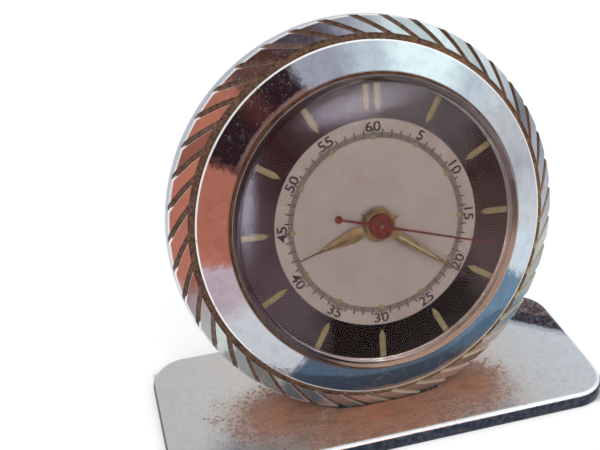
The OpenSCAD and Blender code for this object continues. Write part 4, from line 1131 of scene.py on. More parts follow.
@dataclass
class NotchedCase:
    """Notched ring, bezel, tension ring and crystal, in the case's frame.

    A point of the swelling wall is (beyond the ring's radius, above the wall's back, share of the notches'
    depth), and one of the trench (beyond the chamfer's inner radius, height, share of the notches' depth).
    """

    wall_back: float = 4.2
    wall: tuple[Triple, ...] = (
        (-4.0, 0, 0), (-0.4, 0, 0), (-0.18, 0.02, 0), (-0.04, 0.1, 0), (0.05, 0.25, 0), (0.13, 0.6, 0),
        (0.2, 1.2, 0), (0.2, 1.9, 0), (0.16, 2.4, 0), (0.1, 2.9, 0), (0.06, 3.3, 0.22), (0.03, 3.7, 0.55),
        (0.01, 3.95, 0.82), (-0.02, 4.1, 0.95))
    trench: tuple[Triple, ...] = (
        (0.04, 1.985, 1.0), (0.005, 1.95, 1.0), (0.0, 1.88, 0.95), (0.0, 1.6, 0.5), (0.0, 1.3, 0.0),
        (-0.5, 1.3, 0.0), (-1.1, 1.3, 0.0), (-2.3, 1.3, 0.0))
    chamfer_up: float = 2.0
    seat_up: float = 1.3
    neck_r: float = 25.52
    bore_r: float = 24.02
    neck_up: float = 2.9
    clear: float = 0.02
    bezel_r: float = 27.4
    bezel_in: float = 22.69
    bezel_lip: float = 23.25
    bezel_edge: float = 2.7
    bezel_top: float = 5.0
    bezel_crown: float = 0.12
    foot: float = 3.85
    crystal_r: float = 22.35
    crystal_t: float = 1.2
    crystal_wall: float = 1.85
    crystal_ease: float = 0.1
    shoulder: float = 1.2
    dome_rise: float = 2.5
    apex: float = 0.004
    band_out: float = 22.67
    band_top: float = 5.1

    def ring_rows(self) -> np.ndarray:
        """Return the rows of the ring's section: wall, chamfer, trench, seat and neck.

        Returns:
            Array (n, 4): radius, height, share of the notch's run and share of the notch's depth.
        """
        outer, inner = NOTCHES.outer, NOTCHES.inner
        rows = [(self.bore_r, -self.wall_back, 0, 0)]
        rows += [(outer + beyond, above - self.wall_back, 0, deep) for beyond, above, deep in self.wall]
        rows += [(outer + (inner - outer) * share, self.chamfer_up * share, share, 1.0)
                 for share in np.linspace(0.03, 0.96, 19)]
        rows += [(inner + beyond, height, 1.0, deep) for beyond, height, deep in self.trench]
        neck = ((self.neck_r, self.seat_up), (self.neck_r, self.neck_up), (self.bore_r, self.neck_up))
        return np.array(rows + [(radius, height, 1.0, 0) for radius, height in neck])

    def columns(self) -> tuple[np.ndarray, np.ndarray]:
        """Work out the columns of the ring's grid, close together across each notch.

        Returns:
            Their angles, and how deep a notch is there, from 0 to 1; a random draw makes each shallower.
        """
        mid_r = (NOTCHES.outer + NOTCHES.inner) / 2
        slant = math.hypot(NOTCHES.outer - NOTCHES.inner, self.chamfer_up)
        narrowed = slant / math.hypot(slant, math.radians(NOTCHES.run) * mid_r)
        half = NOTCHES.width / 2 / narrowed / (2 * math.pi * mid_r / NOTCHES.count)
        inside = np.array([0.0, 0.25, 0.4, 0.5, 0.6, 0.7, 0.8, 0.9, 1.0, 1.1, 1.25, 1.6]) * half
        side = np.concatenate([inside, np.linspace(inside[-1], 0.5, 6)[1:-1]])
        in_pitch = np.concatenate([-side[:0:-1], side, [0.5]])
        number = np.arange(NOTCHES.count)[:, None]
        angle = (number + in_pitch[None, :]) * (2 * math.pi / NOTCHES.count) + math.radians(NOTCHES.first)
        cut = np.tile(1 - smooth(0.4, 1.15, np.abs(in_pitch) / half), NOTCHES.count)
        shallower = 0.12 * np.random.default_rng(7).random(NOTCHES.count)
        return angle.ravel(), cut * np.repeat(1 - shallower, len(in_pitch))

    def ring_shell(self) -> tuple[Shell, np.ndarray]:
        """Work out the notched ring.

        The angle of a point is its column's angle plus the notch's run times the row's share, so that
        columns follow the notches. The depth there is the row's share times the column's, less a fifth at the
        inner end, and it lowers the point by depth / cos(slope), down to the seat at most.

        Returns:
            The shell, and for each point how deep it lies in a notch or the trench, from 0 to 1.
        """
        r, z, run, deep = (column[:, None] for column in self.ring_rows().T)
        angle, cut = self.columns()
        wide = NOTCHES.outer - NOTCHES.inner
        steep = math.hypot(wide, self.chamfer_up) / wide
        lower = NOTCHES.depth * steep * deep * (1 - 0.2 * run) * cut[None, :]
        floor = np.minimum(z, self.seat_up + self.clear)
        inner_end = run > 0.99
        height = np.where(inner_end, np.maximum(z - lower, floor), z - lower)
        points = about_axis(r, angle[None, :] + run * math.radians(NOTCHES.run), height)
        in_trench = (r < NOTCHES.inner + 0.01) & (r > self.bezel_r - 0.4) & (z < 1.9) & inner_end
        return ring_shell(points), np.where(in_trench, 1.0, deep * cut[None, :]).ravel()

    def bezel_shell(self) -> Shell:
        """Work out the bezel: a sloping face, crowned by a parabola, from an upright edge to the crystal."""
        t = np.linspace(0.06, 0.94, 12)
        r = self.bezel_r + (self.bezel_in - self.bezel_r) * t
        z = self.bezel_edge + (self.bezel_top - self.bezel_edge) * t + self.bezel_crown * 4 * t * (1 - t)
        face = [(a, b, 0.0) for a, b in zip(r, z)]
        neck_r, neck_up = self.neck_r + self.clear, self.neck_up + self.clear
        section = eased([(neck_r, self.seat_up, 0), (self.bezel_r, self.seat_up, 0.05),
                         (self.bezel_r, self.bezel_edge, 0.2), *face, (self.bezel_in, self.bezel_top, 0.2),
                         (self.bezel_in, self.foot, 0), (self.bezel_lip, self.foot, 0),
                         (self.bezel_lip, neck_up, 0), (neck_r, neck_up, 0)])
        return ring_shell(spun(section, 288))

    def crystal_shell(self) -> Shell:
        """Work out the crystal: an upright wall, a rounded shoulder and a dome, closed on top."""
        arc_r = self.crystal_r - self.shoulder
        top = self.foot + self.crystal_wall
        lean = math.pi / 2 - 2 * math.atan(self.dome_rise / arc_r)
        dome_r = arc_r / math.cos(lean) + self.shoulder
        dome_z = top - arc_r * math.tan(lean)
        in_r, in_dome = self.crystal_r - self.crystal_t, dome_r - self.crystal_t
        nearly_up = math.pi / 2 - self.apex

        def arc(x: float, z: float, radius: float, start: float, stop: float, count: int) -> np.ndarray:
            """Return points on an arc about (x, z) from one angle to another."""
            t = np.linspace(start, stop, count)
            return np.stack([x + radius * np.cos(t), z + radius * np.sin(t)], axis=1)

        inside = arc(0.0, dome_z, in_dome, nearly_up, math.acos(in_r / in_dome), 40)
        ease = self.crystal_ease
        foot = [[in_r, self.foot + ease], [in_r + ease, self.foot], [self.crystal_r - ease, self.foot],
                [self.crystal_r, self.foot + ease]]
        shoulder = arc(arc_r, top, self.shoulder, 0, lean, 13)
        outside = arc(0.0, dome_z, dome_r, lean, nearly_up, 40)[1:]
        return capped_shell(spun(np.concatenate([inside, foot, shoulder, outside]), 256))

    def band_shell(self) -> Shell:
        """Work out the tension ring: a thin upright band round the crystal's wall."""
        band_in = self.crystal_r + self.clear
        section = eased([(band_in, self.foot, 0), (self.band_out, self.foot, 0),
                         (self.band_out, self.band_top, 0.08), (band_in, self.band_top, 0.08)])
        return ring_shell(spun(section, 256))

    def build(self) -> None:
        """Build and dress the case."""
        shell, low = self.ring_shell()
        ring = make_piece("notched_ring", shell)
        mark_points(ring, "groove", low)
        ring_chrome = NotchedChrome("ring_chrome", RING_REFLECTIONS, roughness=0.14, ragged=0.01)
        bezel_chrome = AgedChrome("bezel_chrome", BEZEL_REFLECTIONS, roughness=0.1, ragged=0.011)
        # The tension ring's lower colour is painted light: lighter and pinker from 3 to 7 o'clock.
        brass = PlainMetal("tension_brass", colour=(0.15, 0.07, 0.04), stain=(0.04, 0.02, 0.013),
                           roughness=0.5, lower=(0.30, 0.19, 0.14))
        bezel = make_piece("polished_bezel", self.bezel_shell())
        crystal = make_piece("domed_crystal", self.crystal_shell())
        band = make_piece("crystal_band", self.band_shell())
        fit_piece(ring, ring_chrome.build(), "clock", "case_ring")
        fit_piece(bezel, bezel_chrome.build(), "clock", "bezel")
        fit_piece(crystal, ClearAcrylic().build(), "clock", "crystal")
        fit_piece(band, brass.build(), "clock", "tension_ring")


@dataclass
class Dial:
    """Track, numerals, batons and dots on the dial, in the case's frame."""

    turn: float = 3.0
    face: float = 3.8
    cream: float = 3.9
    ink_t: float = 0.015
    track_in: float = 12.96
    ticks: int = 300
    short_out: float = 13.82
    long_out: float = 14.3
    short_half: float = 0.075
    long_half: float = 0.1
    numeral_r: float = 14.69
    numeral_size: float = 2.139
    numeral_wide: float = 1.18
    numeral_up: float = 0.03
    marker_out: float = 21.1
    marker_len: float = 4.5
    marker_w: float = 0.95
    marker_point: float = 1.0
    marker_gap: float = 0.85
    dot_ring_r: float = 13.05
    dot_r: float = 0.42

    def tick_shell(self) -> Shell:
        """Work out the printed track: 60 long and 240 short bars as flat boxes, each turned to its place."""
        side = [[-1, 0], [1, 0], [1, 1], [-1, 1]]
        box = np.array([[*corner, up] for up in (0, 1) for corner in side], dtype=float)
        quads = np.array([[0, 3, 2, 1], [4, 5, 6, 7], [0, 1, 5, 4], [1, 2, 6, 5], [2, 3, 7, 6], [3, 0, 4, 7]])
        n = np.arange(self.ticks)[:, None]
        long = n % 5 == 0
        x = box[None, :, 0] * np.where(long, self.long_half, self.short_half)
        y = self.track_in + box[None, :, 1] * (np.where(long, self.long_out, self.short_out) - self.track_in)
        z = self.cream + box[None, :, 2] * self.ink_t + 0.0 * n
        a = n * 2 * np.pi / self.ticks + math.radians(self.turn)
        points = np.stack([x * np.cos(a) + y * np.sin(a), -x * np.sin(a) + y * np.cos(a), z], axis=-1)
        faces = (quads[None] + len(box) * n[:, :, None]).reshape(-1, 4)
        return Shell(points.reshape(-1, 3), [faces]).outward()

    def batons(self) -> Shell:
        """Work out the thirteen batons: a pointed outline, repeated smaller higher up, so its edges slope."""
        w, point, end = self.marker_w / 2, self.marker_point, self.marker_len
        outline = eased([(0, 0, 0.08), (w, point, 0.15), (w, end, 0.12), (-w, end, 0.12),
                         (-w, point, 0.15)], 3)
        middle = np.array([0.0, end / 2])
        loops = []
        for share, up in ((1.0, 0.0), (1.0, 0.05), (0.93, 0.11), (0.72, 0.15)):
            loop = middle + (outline - middle) * np.array([share, 1 - (1 - share) * 0.25])
            loops.append(level(loop, self.face + up))
        bar = np.stack(loops) + np.array([0, self.marker_out - end, 0])
        pair = (self.marker_w + self.marker_gap) / 2
        places = [(i * 30.0, 0.0) for i in range(1, 12)] + [(0.0, -pair), (0.0, pair)]
        shells = [capped_shell(turn_plane(bar + np.array([dx, 0, 0]), a + self.turn)) for a, dx in places]
        return shells[0].joined(shells[1:])

    def dots(self) -> Shell:
        """Work out the twelve dots as low domes."""
        t = np.linspace(0, math.pi / 2 - 0.15, 5)
        dome = np.stack([self.dot_r * np.cos(t), self.cream + 0.04 + 0.11 * np.sin(t)], axis=1)
        section = np.concatenate([[[self.dot_r, self.cream]], dome])
        shells = []
        for i in range(12):
            a = math.radians(i * 30 + self.turn)
            middle = (self.dot_ring_r * math.sin(a), self.dot_ring_r * math.cos(a))
            shells.append(capped_shell(spun(section, 16, middle)))
        return shells[0].joined(shells[1:])

    def numeral(self, i: int) -> bpy.types.Object:
        """Make the plain number of an hour's place as a mesh on the track.

        Args:
            i: The hour; its number is five times as much, and from 4 to 8 its top is to the centre.

        Returns:
            The number.
        """
        name = f"number_{i * 5}"
        curve = bpy.data.curves.new(name, "FONT")
        curve.body = str(i * 5)
        curve.size = self.numeral_size
        curve.align_x, curve.align_y = "CENTER", "CENTER"
        curve.extrude, curve.offset, curve.resolution_u = 0.008, 0.03, 3
        shown = link(name, curve)
        bpy.context.view_layer.update()
        mesh = bpy.data.meshes.new_from_object(shown.evaluated_get(bpy.context.evaluated_depsgraph_get()))
        bpy.data.objects.remove(shown)
        points = np.zeros(len(mesh.vertices) * 3, np.float32)
        mesh.vertices.foreach_get("co", points)
        points = points.reshape(-1, 3).astype(float)
        points[:, :2] -= (points[:, :2].max(axis=0) + points[:, :2].min(axis=0)) / 2
        points[:, 0] *= self.numeral_wide
        if 4 <= i <= 8:
            points[:, :2] *= -1
        points += np.array([0, self.numeral_r, self.cream + self.numeral_up])
        points = CASE.to_row(turn_plane(points, i * 30 + self.turn)) * MM
        mesh.vertices.foreach_set("co", points.astype(np.float32).ravel())
        mesh.update()
        return link(name, mesh)

    def numerals(self) -> bpy.types.Object:
        """Make the numbers 5 to 60 as one mesh object."""
        made = [self.numeral(i) for i in range(1, 13)]
        with bpy.context.temp_override(active_object=made[0], selected_editable_objects=made, object=made[0]):
            bpy.ops.object.join()
        made[0].name = "dial_numbers"
        return made[0]

    def build(self) -> None:
        """Build and dress the dial."""
        ink = Lacquer("dial_ink", colour=(0.006, 0.003, 0.002), cloudy=(0.016, 0.009, 0.007),
                      speck=(0.05, 0.03, 0.02), roughness=0.6).build()
        lume = Lacquer("aged_lume", colour=(0.165, 0.127, 0.066), cloudy=(0.13, 0.094, 0.038),
                       speck=(0.08, 0.05, 0.025), roughness=0.7, scale=0.8, speck_share=0.45).build()
        cream = Lacquer("dial_cream", colour=(0.225, 0.180, 0.155), cloudy=(0.20, 0.155, 0.13),
                        speck=(0.11, 0.08, 0.065), roughness=0.65, scale=0.25)
        fit_piece(make_piece("second_track", self.tick_shell()), ink, "clock")
        fit_piece(self.numerals(), ink, "clock")
        fit_piece(make_piece("hour_batons", self.batons()), lume, "clock", "hour_markers")
        fit_piece(make_piece("track_dots", self.dots()), lume, "clock", "minute_dots")
        dress(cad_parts["dial_plate"], DialBrown().build())
        dress(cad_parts["dial_centre"], cream.build())


@dataclass(frozen=True)
class Leaf:
    """Leaf hand with a ridge, a slot pressed into it and a collar, in the case's frame.

    Its sizes are its length, its greatest width, the height of its underside, its clockwise angle from the
    top, the distances at which its slot begins and ends, and the bore and radius of its collar.
    """

    length: float
    width: float
    z: float
    angle: float
    slot: Span
    collar: Span
    widest: float = 4.4
    tail: float = 3.5
    thick: float = 0.15
    collar_up: float = 0.25
    slot_ease: float = 0.05
    slot_halves: Span = (0.12, 0.06)

    def half_width(self, y: np.ndarray) -> np.ndarray:
        """Return half the width at distances along the hand, with straight lines between its places."""
        neck, needle_from = self.tail / 2, self.length * 0.74
        at = [-self.tail, -neck, neck, self.widest, needle_from, self.length]
        half = [0.03, self.width * 0.31, self.width * 0.31, self.width / 2, 0.16, 0.06]
        return np.interp(y, at, half)

    def blade(self) -> tuple[Shell, np.ndarray]:
        """Work out the blade.

        A row is one loop round the hand at a distance y. Its upper side is a roof that rises towards the
        middle, and between the slot's ends the middle sinks almost to the underside.

        Returns:
            Closed shell, and for each point 1 on the slot's floor and 0 elsewhere.
        """
        ease = self.slot_ease
        ends = [end + side for end in self.slot for side in (-ease, ease)]
        even = np.linspace(-self.tail, self.length, 60)
        y = np.unique(np.concatenate([even, [self.tail / 2, self.widest], ends]))
        count = len(y)
        half = self.half_width(y)[:, None]
        open_at = (smooth(ends[0], ends[1], y) - smooth(ends[2], ends[3], y))[:, None]
        slot_half = np.interp(y, self.slot, self.slot_halves)[:, None] / half
        side = np.broadcast_to([-1.0, -0.97, -0.75, -0.5], (count, 4))
        middle = np.clip(slot_half * np.array([-1.15, -0.85, 0, 0.85, 1.15]), -0.45, 0.45)
        top_v = np.concatenate([side, middle, -side[:, ::-1]], axis=1)
        roof = self.thick * (0.45 + 0.75 * (1 - np.abs(top_v)))
        roof[:, [0, -1]] = self.thick * 0.3
        sunk = np.zeros_like(top_v)
        sunk[:, 5:8] = open_at
        roof = roof * (1 - sunk) + 0.02 * sunk
        low_v = np.broadcast_to([1.0, 0.0, -1.0], (count, 3))
        across = np.concatenate([top_v, low_v], axis=1)
        height = np.concatenate([self.z + roof, np.full((count, 3), self.z)], axis=1)
        loops = np.stack([across * half, np.broadcast_to(y[:, None], across.shape), height], axis=-1)
        floor = np.concatenate([sunk, np.zeros((count, 3))], axis=1).ravel()
        return capped_shell(turn_plane(loops, self.angle)), np.concatenate([floor, [0.0, 0.0]])

    def build(self, body: str, finish: HandGilt) -> None:
        """Build the hand with its collar, a ring with eased top edges, and dress it.

        Args:
            body: CAD body that it moves with.
            finish: Its gilt, which has the new piece's name.
        """
        blade, low = self.blade()
        bore, radius = self.collar
        top = self.z + self.collar_up
        section = eased([(bore, self.z, 0), (radius, self.z, 0.03), (radius, top, 0.1), (bore, top, 0.05)], 4)
        whole = blade.joined([ring_shell(spun(section, 64))])
        piece = make_piece(finish.name, whole)
        mark_points(piece, "slot_floor", np.concatenate([low, np.zeros(len(whole.points) - len(low))]))
        fit_piece(piece, finish.build(), body, f"{body}_hand")


@dataclass(frozen=True)
class SecondsHand:
    """Seconds hand with its weight, and the boss on its arbor, in the case's frame.

    A groove of the boss is (radius, width, depth).
    """

    angle: float = 107.6
    z: float = 5.75
    length: float = 18.75
    width: float = 0.42
    thick: float = 0.15
    weight_at: float = 6.7
    weight_r: float = 0.6
    weight_ease: float = 0.08
    boss_r: float = 1.9
    boss_up: float = 0.35
    boss_bore: float = 0.32
    boss_arc: float = 75.0
    boss_edge: float = 0.05
    boss_grooves: tuple[Triple, ...] = ((1.2, 0.09, 0.07), (0.62, 0.07, 0.05))

    def needle(self) -> Shell:
        """Work out the seconds hand: a tapering bar with a roof-shaped top, and its round weight."""
        y = np.concatenate([np.linspace(-self.weight_at, 0, 12), np.linspace(0.5, self.length, 40)])[:, None]
        half = np.interp(y, [-self.weight_at, 0, self.length], [0.2, self.width / 2, self.width / 4])
        across = np.array([-1, -0.9, -0.4, 0, 0.4, 0.9, 1, 0.5, -0.5])[None, :]
        height = np.array([0.04, 0.09, 0.14, 0.15, 0.14, 0.09, 0.04, 0.0, 0.0])[None, :]
        bar = np.stack([across * half, y + 0 * across, self.z + height + 0 * half], axis=-1)
        t = np.linspace(0, math.pi / 2 - 0.1, 6)
        edge = np.stack([self.weight_r - self.weight_ease * (1 - np.cos(t)),
                         self.z + 0.07 + self.weight_ease * np.sin(t)], axis=1)
        disc = np.concatenate([[[self.weight_r, self.z]], edge])
        weight = capped_shell(spun(disc, 32) - np.array([0, self.weight_at, 0]))
        weight.points = turn_plane(weight.points, self.angle)
        return capped_shell(turn_plane(bar, self.angle)).joined([weight])

    def boss(self) -> Shell:
        """Work out the boss: a dome with ring grooves, each a bell curve, and a hole for the arbor's end."""
        low, edge = self.z + self.thick, self.boss_edge
        arc = math.radians(self.boss_arc)
        t = np.linspace(0.1, arc, 26)
        r = self.boss_r * np.cos(t)
        groove = sum(deep * np.exp(-((r - at) / wide) ** 2) for at, wide, deep in self.boss_grooves)
        height = low + 0.06 + self.boss_up * np.sin(t) / math.sin(arc) - groove
        dome = [(a, b, 0) for a, b in zip(r, height)]
        section = eased([(self.boss_bore, low, 0), (self.boss_r - edge, low, 0.03),
                         (self.boss_r, low + edge, 0.03), *dome,
                         (self.boss_bore, low + self.boss_up + 0.07, 0.03)], 2)
        return ring_shell(spun(section, 64))

    def build(self) -> None:
        """Build and dress the seconds hand and the boss."""
        red = Lacquer("hand_red", colour=(0.12, 0.015, 0.008), cloudy=(0.035, 0.012, 0.008),
                      speck=(0.18, 0.08, 0.045), roughness=0.45,
                      scale=1.8, speck_share=0.5, shine=0.1).build()
        fit_piece(make_piece("red_seconds_hand", self.needle()), red, "seconds", "seconds_hand")
        fit_piece(make_piece("red_boss", self.boss()), red, "seconds", "seconds_boss")


@dataclass
class Hands:
    """Hour, minute and seconds hand."""

    hour: Leaf = Leaf(length=13.0, width=2.2, z=4.5, angle=254.1, slot=(5.0, 10.2), collar=(1.22, 2.6))
    minute: Leaf = Leaf(length=17.5, width=1.6, z=5.1, angle=127.4, slot=(3.6, 11.0), collar=(0.82, 2.3))
    seconds: SecondsHand = SecondsHand()

    def build(self) -> None:
        """Build and dress the hands."""
        self.hour.build("hour", HandGilt("gilt_hour_hand", floor=(0.035, 0.02, 0.014), bars=True))
        self.minute.build("minute", HandGilt("gilt_minute_hand", floor=(0.30, 0.25, 0.16), bars=False))
        self.seconds.build()


def level(xy: np.ndarray, z: float | np.ndarray) -> np.ndarray:
    """Return the points (x, y) at a height as (x, y, z)."""
    return np.column_stack([xy, np.broadcast_to(z, len(xy))])


@dataclass
class SheetBase:
    """Pressed sheet base with its slot and tongue, in the row frame.

    A dent is (x, y, radius, height), and a corner of the slot's right half is (x, y).
    """

    width: float = 72.4
    depth: float = 29.2
    height: float = 2.5
    corner: float = 5.9
    sheet: float = 0.8
    fold: float = 1.1
    edge_ease: float = 0.12
    slot_half: tuple[Span, ...] = ((4.4, -6.45), (8.6, -5.85), (12.6, -1.35), (12.6, 0.50767))
    slot_middle: Span = (0.0, -2.9)
    slot_ease: float = 0.06
    bend_y: float = 0.50767
    bend_r: float = 0.5
    tongue_w: float = 19.0
    tongue_ease: float = 0.06
    tongue_top: float = 22.9
    drum_clear: float = 24.4
    axis_up: float = 27.512697
    dented: tuple[tuple[float, float, float, float], ...] = (
        (13.0, -8.0, 2.6, -0.07), (17.5, -6.0, 2.2, 0.05), (9.0, -11.0, 2.0, 0.05),
        (-20.0, -4.0, 4.0, -0.04), (26.0, 3.0, 5.0, -0.05), (-12.0, -10.5, 3.0, 0.04),
        (20.0, -10.5, 1.8, -0.05), (30.0, -6.0, 3.0, 0.04))

    def stretches(self) -> tuple[float, float, np.ndarray]:
        """Return the half sizes between the corners' middles, and the ends of the rim's stretches."""
        w, d = self.width / 2 - self.corner, self.depth / 2 - self.corner
        arc = math.pi / 2 * self.corner
        return w, d, np.cumsum([0, d, arc, 2 * w, arc, 2 * d, arc, 2 * w, arc, d])

    def outline(self, along: np.ndarray) -> tuple[np.ndarray, np.ndarray]:
        """Return points of the inner rectangle and the outward directions at shares of the way round.

        Args:
            along: Shares from 0 to 1, anticlockwise from the middle of the right side.

        Returns:
            Points of the rectangle of the corners' middles, and the directions out of it.
        """
        w, d, ends = self.stretches()
        s = along * ends[-1]
        n = np.clip(np.searchsorted(ends, s, side="right") - 1, 0, len(ends) - 2)
        t = (s - ends[n]) / np.diff(ends)[n]
        corners = np.repeat([[w, d], [-w, d], [-w, -d], [w, -d]], 2, axis=0)
        at = np.concatenate([[[w, 0]], corners, [[w, 0]]])
        degrees = np.repeat([0, 90, 180, 270, 360], 2)
        angle = np.radians(degrees[n] + (degrees[n + 1] - degrees[n]) * t)
        return at[n] + (at[n + 1] - at[n]) * t[:, None], np.stack([np.cos(angle), np.sin(angle)], axis=1)

    def slot_corners(self) -> np.ndarray:
        """Return the corners of the slot, anticlockwise from its front left."""
        right = np.array(self.slot_half)
        return np.concatenate([right[:1] * [-1, 1], right, right[:0:-1] * [-1, 1]])

    def slot_points(self, directions: np.ndarray, centre: np.ndarray) -> np.ndarray:
        """Return where rays from the centre leave the slot's outline.

        Args:
            directions: Unit directions (n, 2).
            centre: Point inside the slot.

        Returns:
            Points of the outline (n, 2).
        """
        corners, tiny = self.slot_corners(), 1e-9
        best = np.full(len(directions), np.inf)
        for p, q in zip(corners, np.roll(corners, -1, axis=0)):
            normal = np.array([q[1] - p[1], p[0] - q[0]])
            speed = directions @ normal
            reach = ((p - centre) @ normal) / np.where(np.abs(speed) < tiny, tiny, speed)
            best = np.where((speed > tiny) & (reach > 0), np.minimum(best, reach), best)
        return centre + directions * best[:, None]

    def dents(self, x: np.ndarray, y: np.ndarray) -> np.ndarray:
        """Return the height of the sheet's small dents: a sum of low round hills and hollows."""
        return sum(up * np.exp(-((x - at_x) ** 2 + (y - at_y) ** 2) / r ** 2)
                   for at_x, at_y, r, up in self.dented)

    def columns(self, centre: np.ndarray) -> np.ndarray:
        """Work out the sheet's columns: even, at the slot's corners, and finer on the four round corners.

        Args:
            centre: Point inside the slot.

        Returns:
            Where they stand, as shares of the way round.
        """
        along = np.linspace(0, 1, 4001)[:-1]
        base, out = self.outline(along)
        rim = base + out * (self.corner - self.fold)
        angle = np.unwrap(np.arctan2(rim[:, 1] - centre[1], rim[:, 0] - centre[0]))
        toward = np.arctan2(*(self.slot_corners() - centre).T[::-1])
        toward = np.where(toward < angle[0], toward + 2 * math.pi, toward)
        ends = self.stretches()[2]
        fine = [np.linspace(ends[k], ends[k + 1], 13) / ends[-1] for k in (1, 3, 5, 7)]
        even = np.linspace(0, 1, 321)[:-1]
        shares = np.unique(np.round(np.concatenate([even, np.interp(toward, angle, along), *fine]), 7))
        return shares[shares < 0.99999]

    def plate(self) -> Shell:
        """Work out the sheet: rows go from the slot over the top, round the fold, down the rim and back."""
        centre = np.array(self.slot_middle)
        base, out = self.outline(self.columns(centre))
        bend_in = self.corner - self.fold
        flat_edge = base + out * bend_in
        ray = flat_edge - centre
        slot = self.slot_points(ray / np.linalg.norm(ray, axis=1)[:, None], centre)
        rows = []
        for t in np.concatenate([[0.0, 0.01], np.linspace(0.03, 1, 34)]):
            xy = slot + (flat_edge - slot) * t
            dent = self.dents(xy[:, 0], xy[:, 1]) * smooth(0, 0.1, t) * smooth(1.0, 0.9, t)
            rows.append(level(xy, self.height + dent - (self.slot_ease if t == 0 else 0)))
        bend_z = self.height - self.fold
        small = self.fold - self.sheet
        for a in np.linspace(0, math.pi / 2, 9)[1:]:
            reach, z = bend_in + self.fold * math.sin(a), bend_z + self.fold * math.cos(a)
            rows.append(level(base + out * reach, z))
        inner = self.corner - self.sheet
        ease = self.edge_ease
        for reach, z in ((self.corner, 1.0), (self.corner, 0.5), (self.corner, ease),
                         (self.corner - ease, 0.0), (inner + 0.1, 0.0), (inner, 0.1), (inner, bend_z)):
            rows.append(level(base + out * reach, z))
        for a in np.linspace(math.pi / 2, 0, 5)[1:]:
            reach, z = bend_in + small * math.sin(a), bend_z + small * math.cos(a)
            rows.append(level(base + out * reach, z))
        for t in np.linspace(1, 0, 8)[1:]:
            rows.append(level(slot + (flat_edge - slot) * t, self.height - self.sheet))
        return ring_shell(np.stack(rows) + np.array([0, CASE.base_y, 0]))

    def tongue(self) -> Shell:
        """Work out the tongue: its side outline runs in the sheet, bends and leans back with the case.

        The outline is a loop in the plane of Y and Z, and each column across the tongue has that loop with
        its top cut by the circle of the drum's clearance.

        Returns:
            Closed shell in the row frame.
        """
        lean = math.radians(CASE.tilt)
        half = self.tongue_w / 2
        even = np.linspace(0.3 - half, half - 0.3, 40)
        x = np.concatenate([[-half, 0.05 - half], even, [half - 0.05, half]])
        inset = np.where(np.abs(x) > half - 0.01, self.tongue_ease, 0.0)[:, None, None]
        angle = np.radians(270) - (math.pi / 2 + lean) * np.linspace(0, 1, 12)[None, :, None]
        direction = np.concatenate([np.cos(angle), np.sin(angle)], axis=2)
        root = np.array([self.bend_y, self.height + self.bend_r])
        under = root + direction * (self.bend_r + self.sheet - inset)
        over = root + direction * (self.bend_r + inset)
        top = np.minimum(-self.tongue_top, -np.sqrt(self.drum_clear ** 2 - x ** 2)) + self.axis_up
        rise = top[:, None, None] * np.array([math.sin(lean), math.cos(lean)])
        foot = np.array([self.bend_y + self.sheet, self.height])
        up = np.array([0.0, 1.0])
        loop = np.concatenate([
            foot + up * (inset - self.sheet), under, under[:, -1:] + rise * 0.5, under[:, -1:] + rise,
            over[:, -1:] + rise, over[:, -1:] + rise * 0.5, over[:, ::-1], foot - up * inset], axis=1)
        points = np.concatenate([np.broadcast_to(x[:, None, None], (*loop.shape[:2], 1)), loop], axis=2)
        return capped_shell(points + np.array([0, CASE.base_y, 0]))

    def build(self) -> None:
        """Build and dress the base."""
        plate = make_piece("pressed_base", self.plate().joined([self.tongue()]), Place.ROW, 50)
        fit_piece(plate, BaseChrome().build(), "clock", "base_plate")


@dataclass(frozen=True)
class Knob:
    """Fluted knob on the back, in the case's frame."""

    middle: Span
    radius: float
    flutes: int
    front: float = -10.9
    height: float = 3.5
    recess: float = 0.8
    flute_depth: float = 0.3
    pole: float = 0.02

    def shell(self) -> Shell:
        """Work out the knob: the radius of the rim's rows dips by a cosine in each flute."""
        r, front, back = self.radius, self.front, self.front - self.height
        section = eased([(self.pole, front, 0), (r - 0.5, front, 0.15), (r, front - 0.4, 0.2),
                         (r, back + 0.4, 0.2), (r - 0.4, back, 0.15), (r * 0.72, back, 0.12),
                         (r * 0.66, back + self.recess, 0.15), (self.pole, back + self.recess, 0)],
                        closed=False)
        a = full_turn(self.flutes * 8)
        rim = smooth(r - 0.45, r - 0.1, section[:, :1])
        dip = self.flute_depth * rim * (0.5 + 0.5 * np.cos(a * self.flutes)) ** 1.5
        return capped_shell(about_axis(section[:, :1] - dip, a, section[:, 1:], self.middle))


STEEL_NODES = ("case_screws", "centre_tube", "plate_screws", "click_screw", "click_spring", "hairspring",
               "cock_screws", "cannon_pinion", "mainspring", "barrel_arbor", "ratchet_wheel", "click",
               "second_arbor", "third_arbor", "escape_arbor", "pallet_arbor", "pallet_pins", "balance_staff",
               "roller", "regulator", "setting_arbor")
BRASS_NODES = ("movement_ring", "main_plate", "pillars", "back_plate", "balance_cock", "hour_wheel",
               "motion_wheel", "barrel", "barrel_lid", "second_wheel", "third_wheel", "fourth_wheel",
               "escape_wheel", "pallet_lever", "balance_wheel")


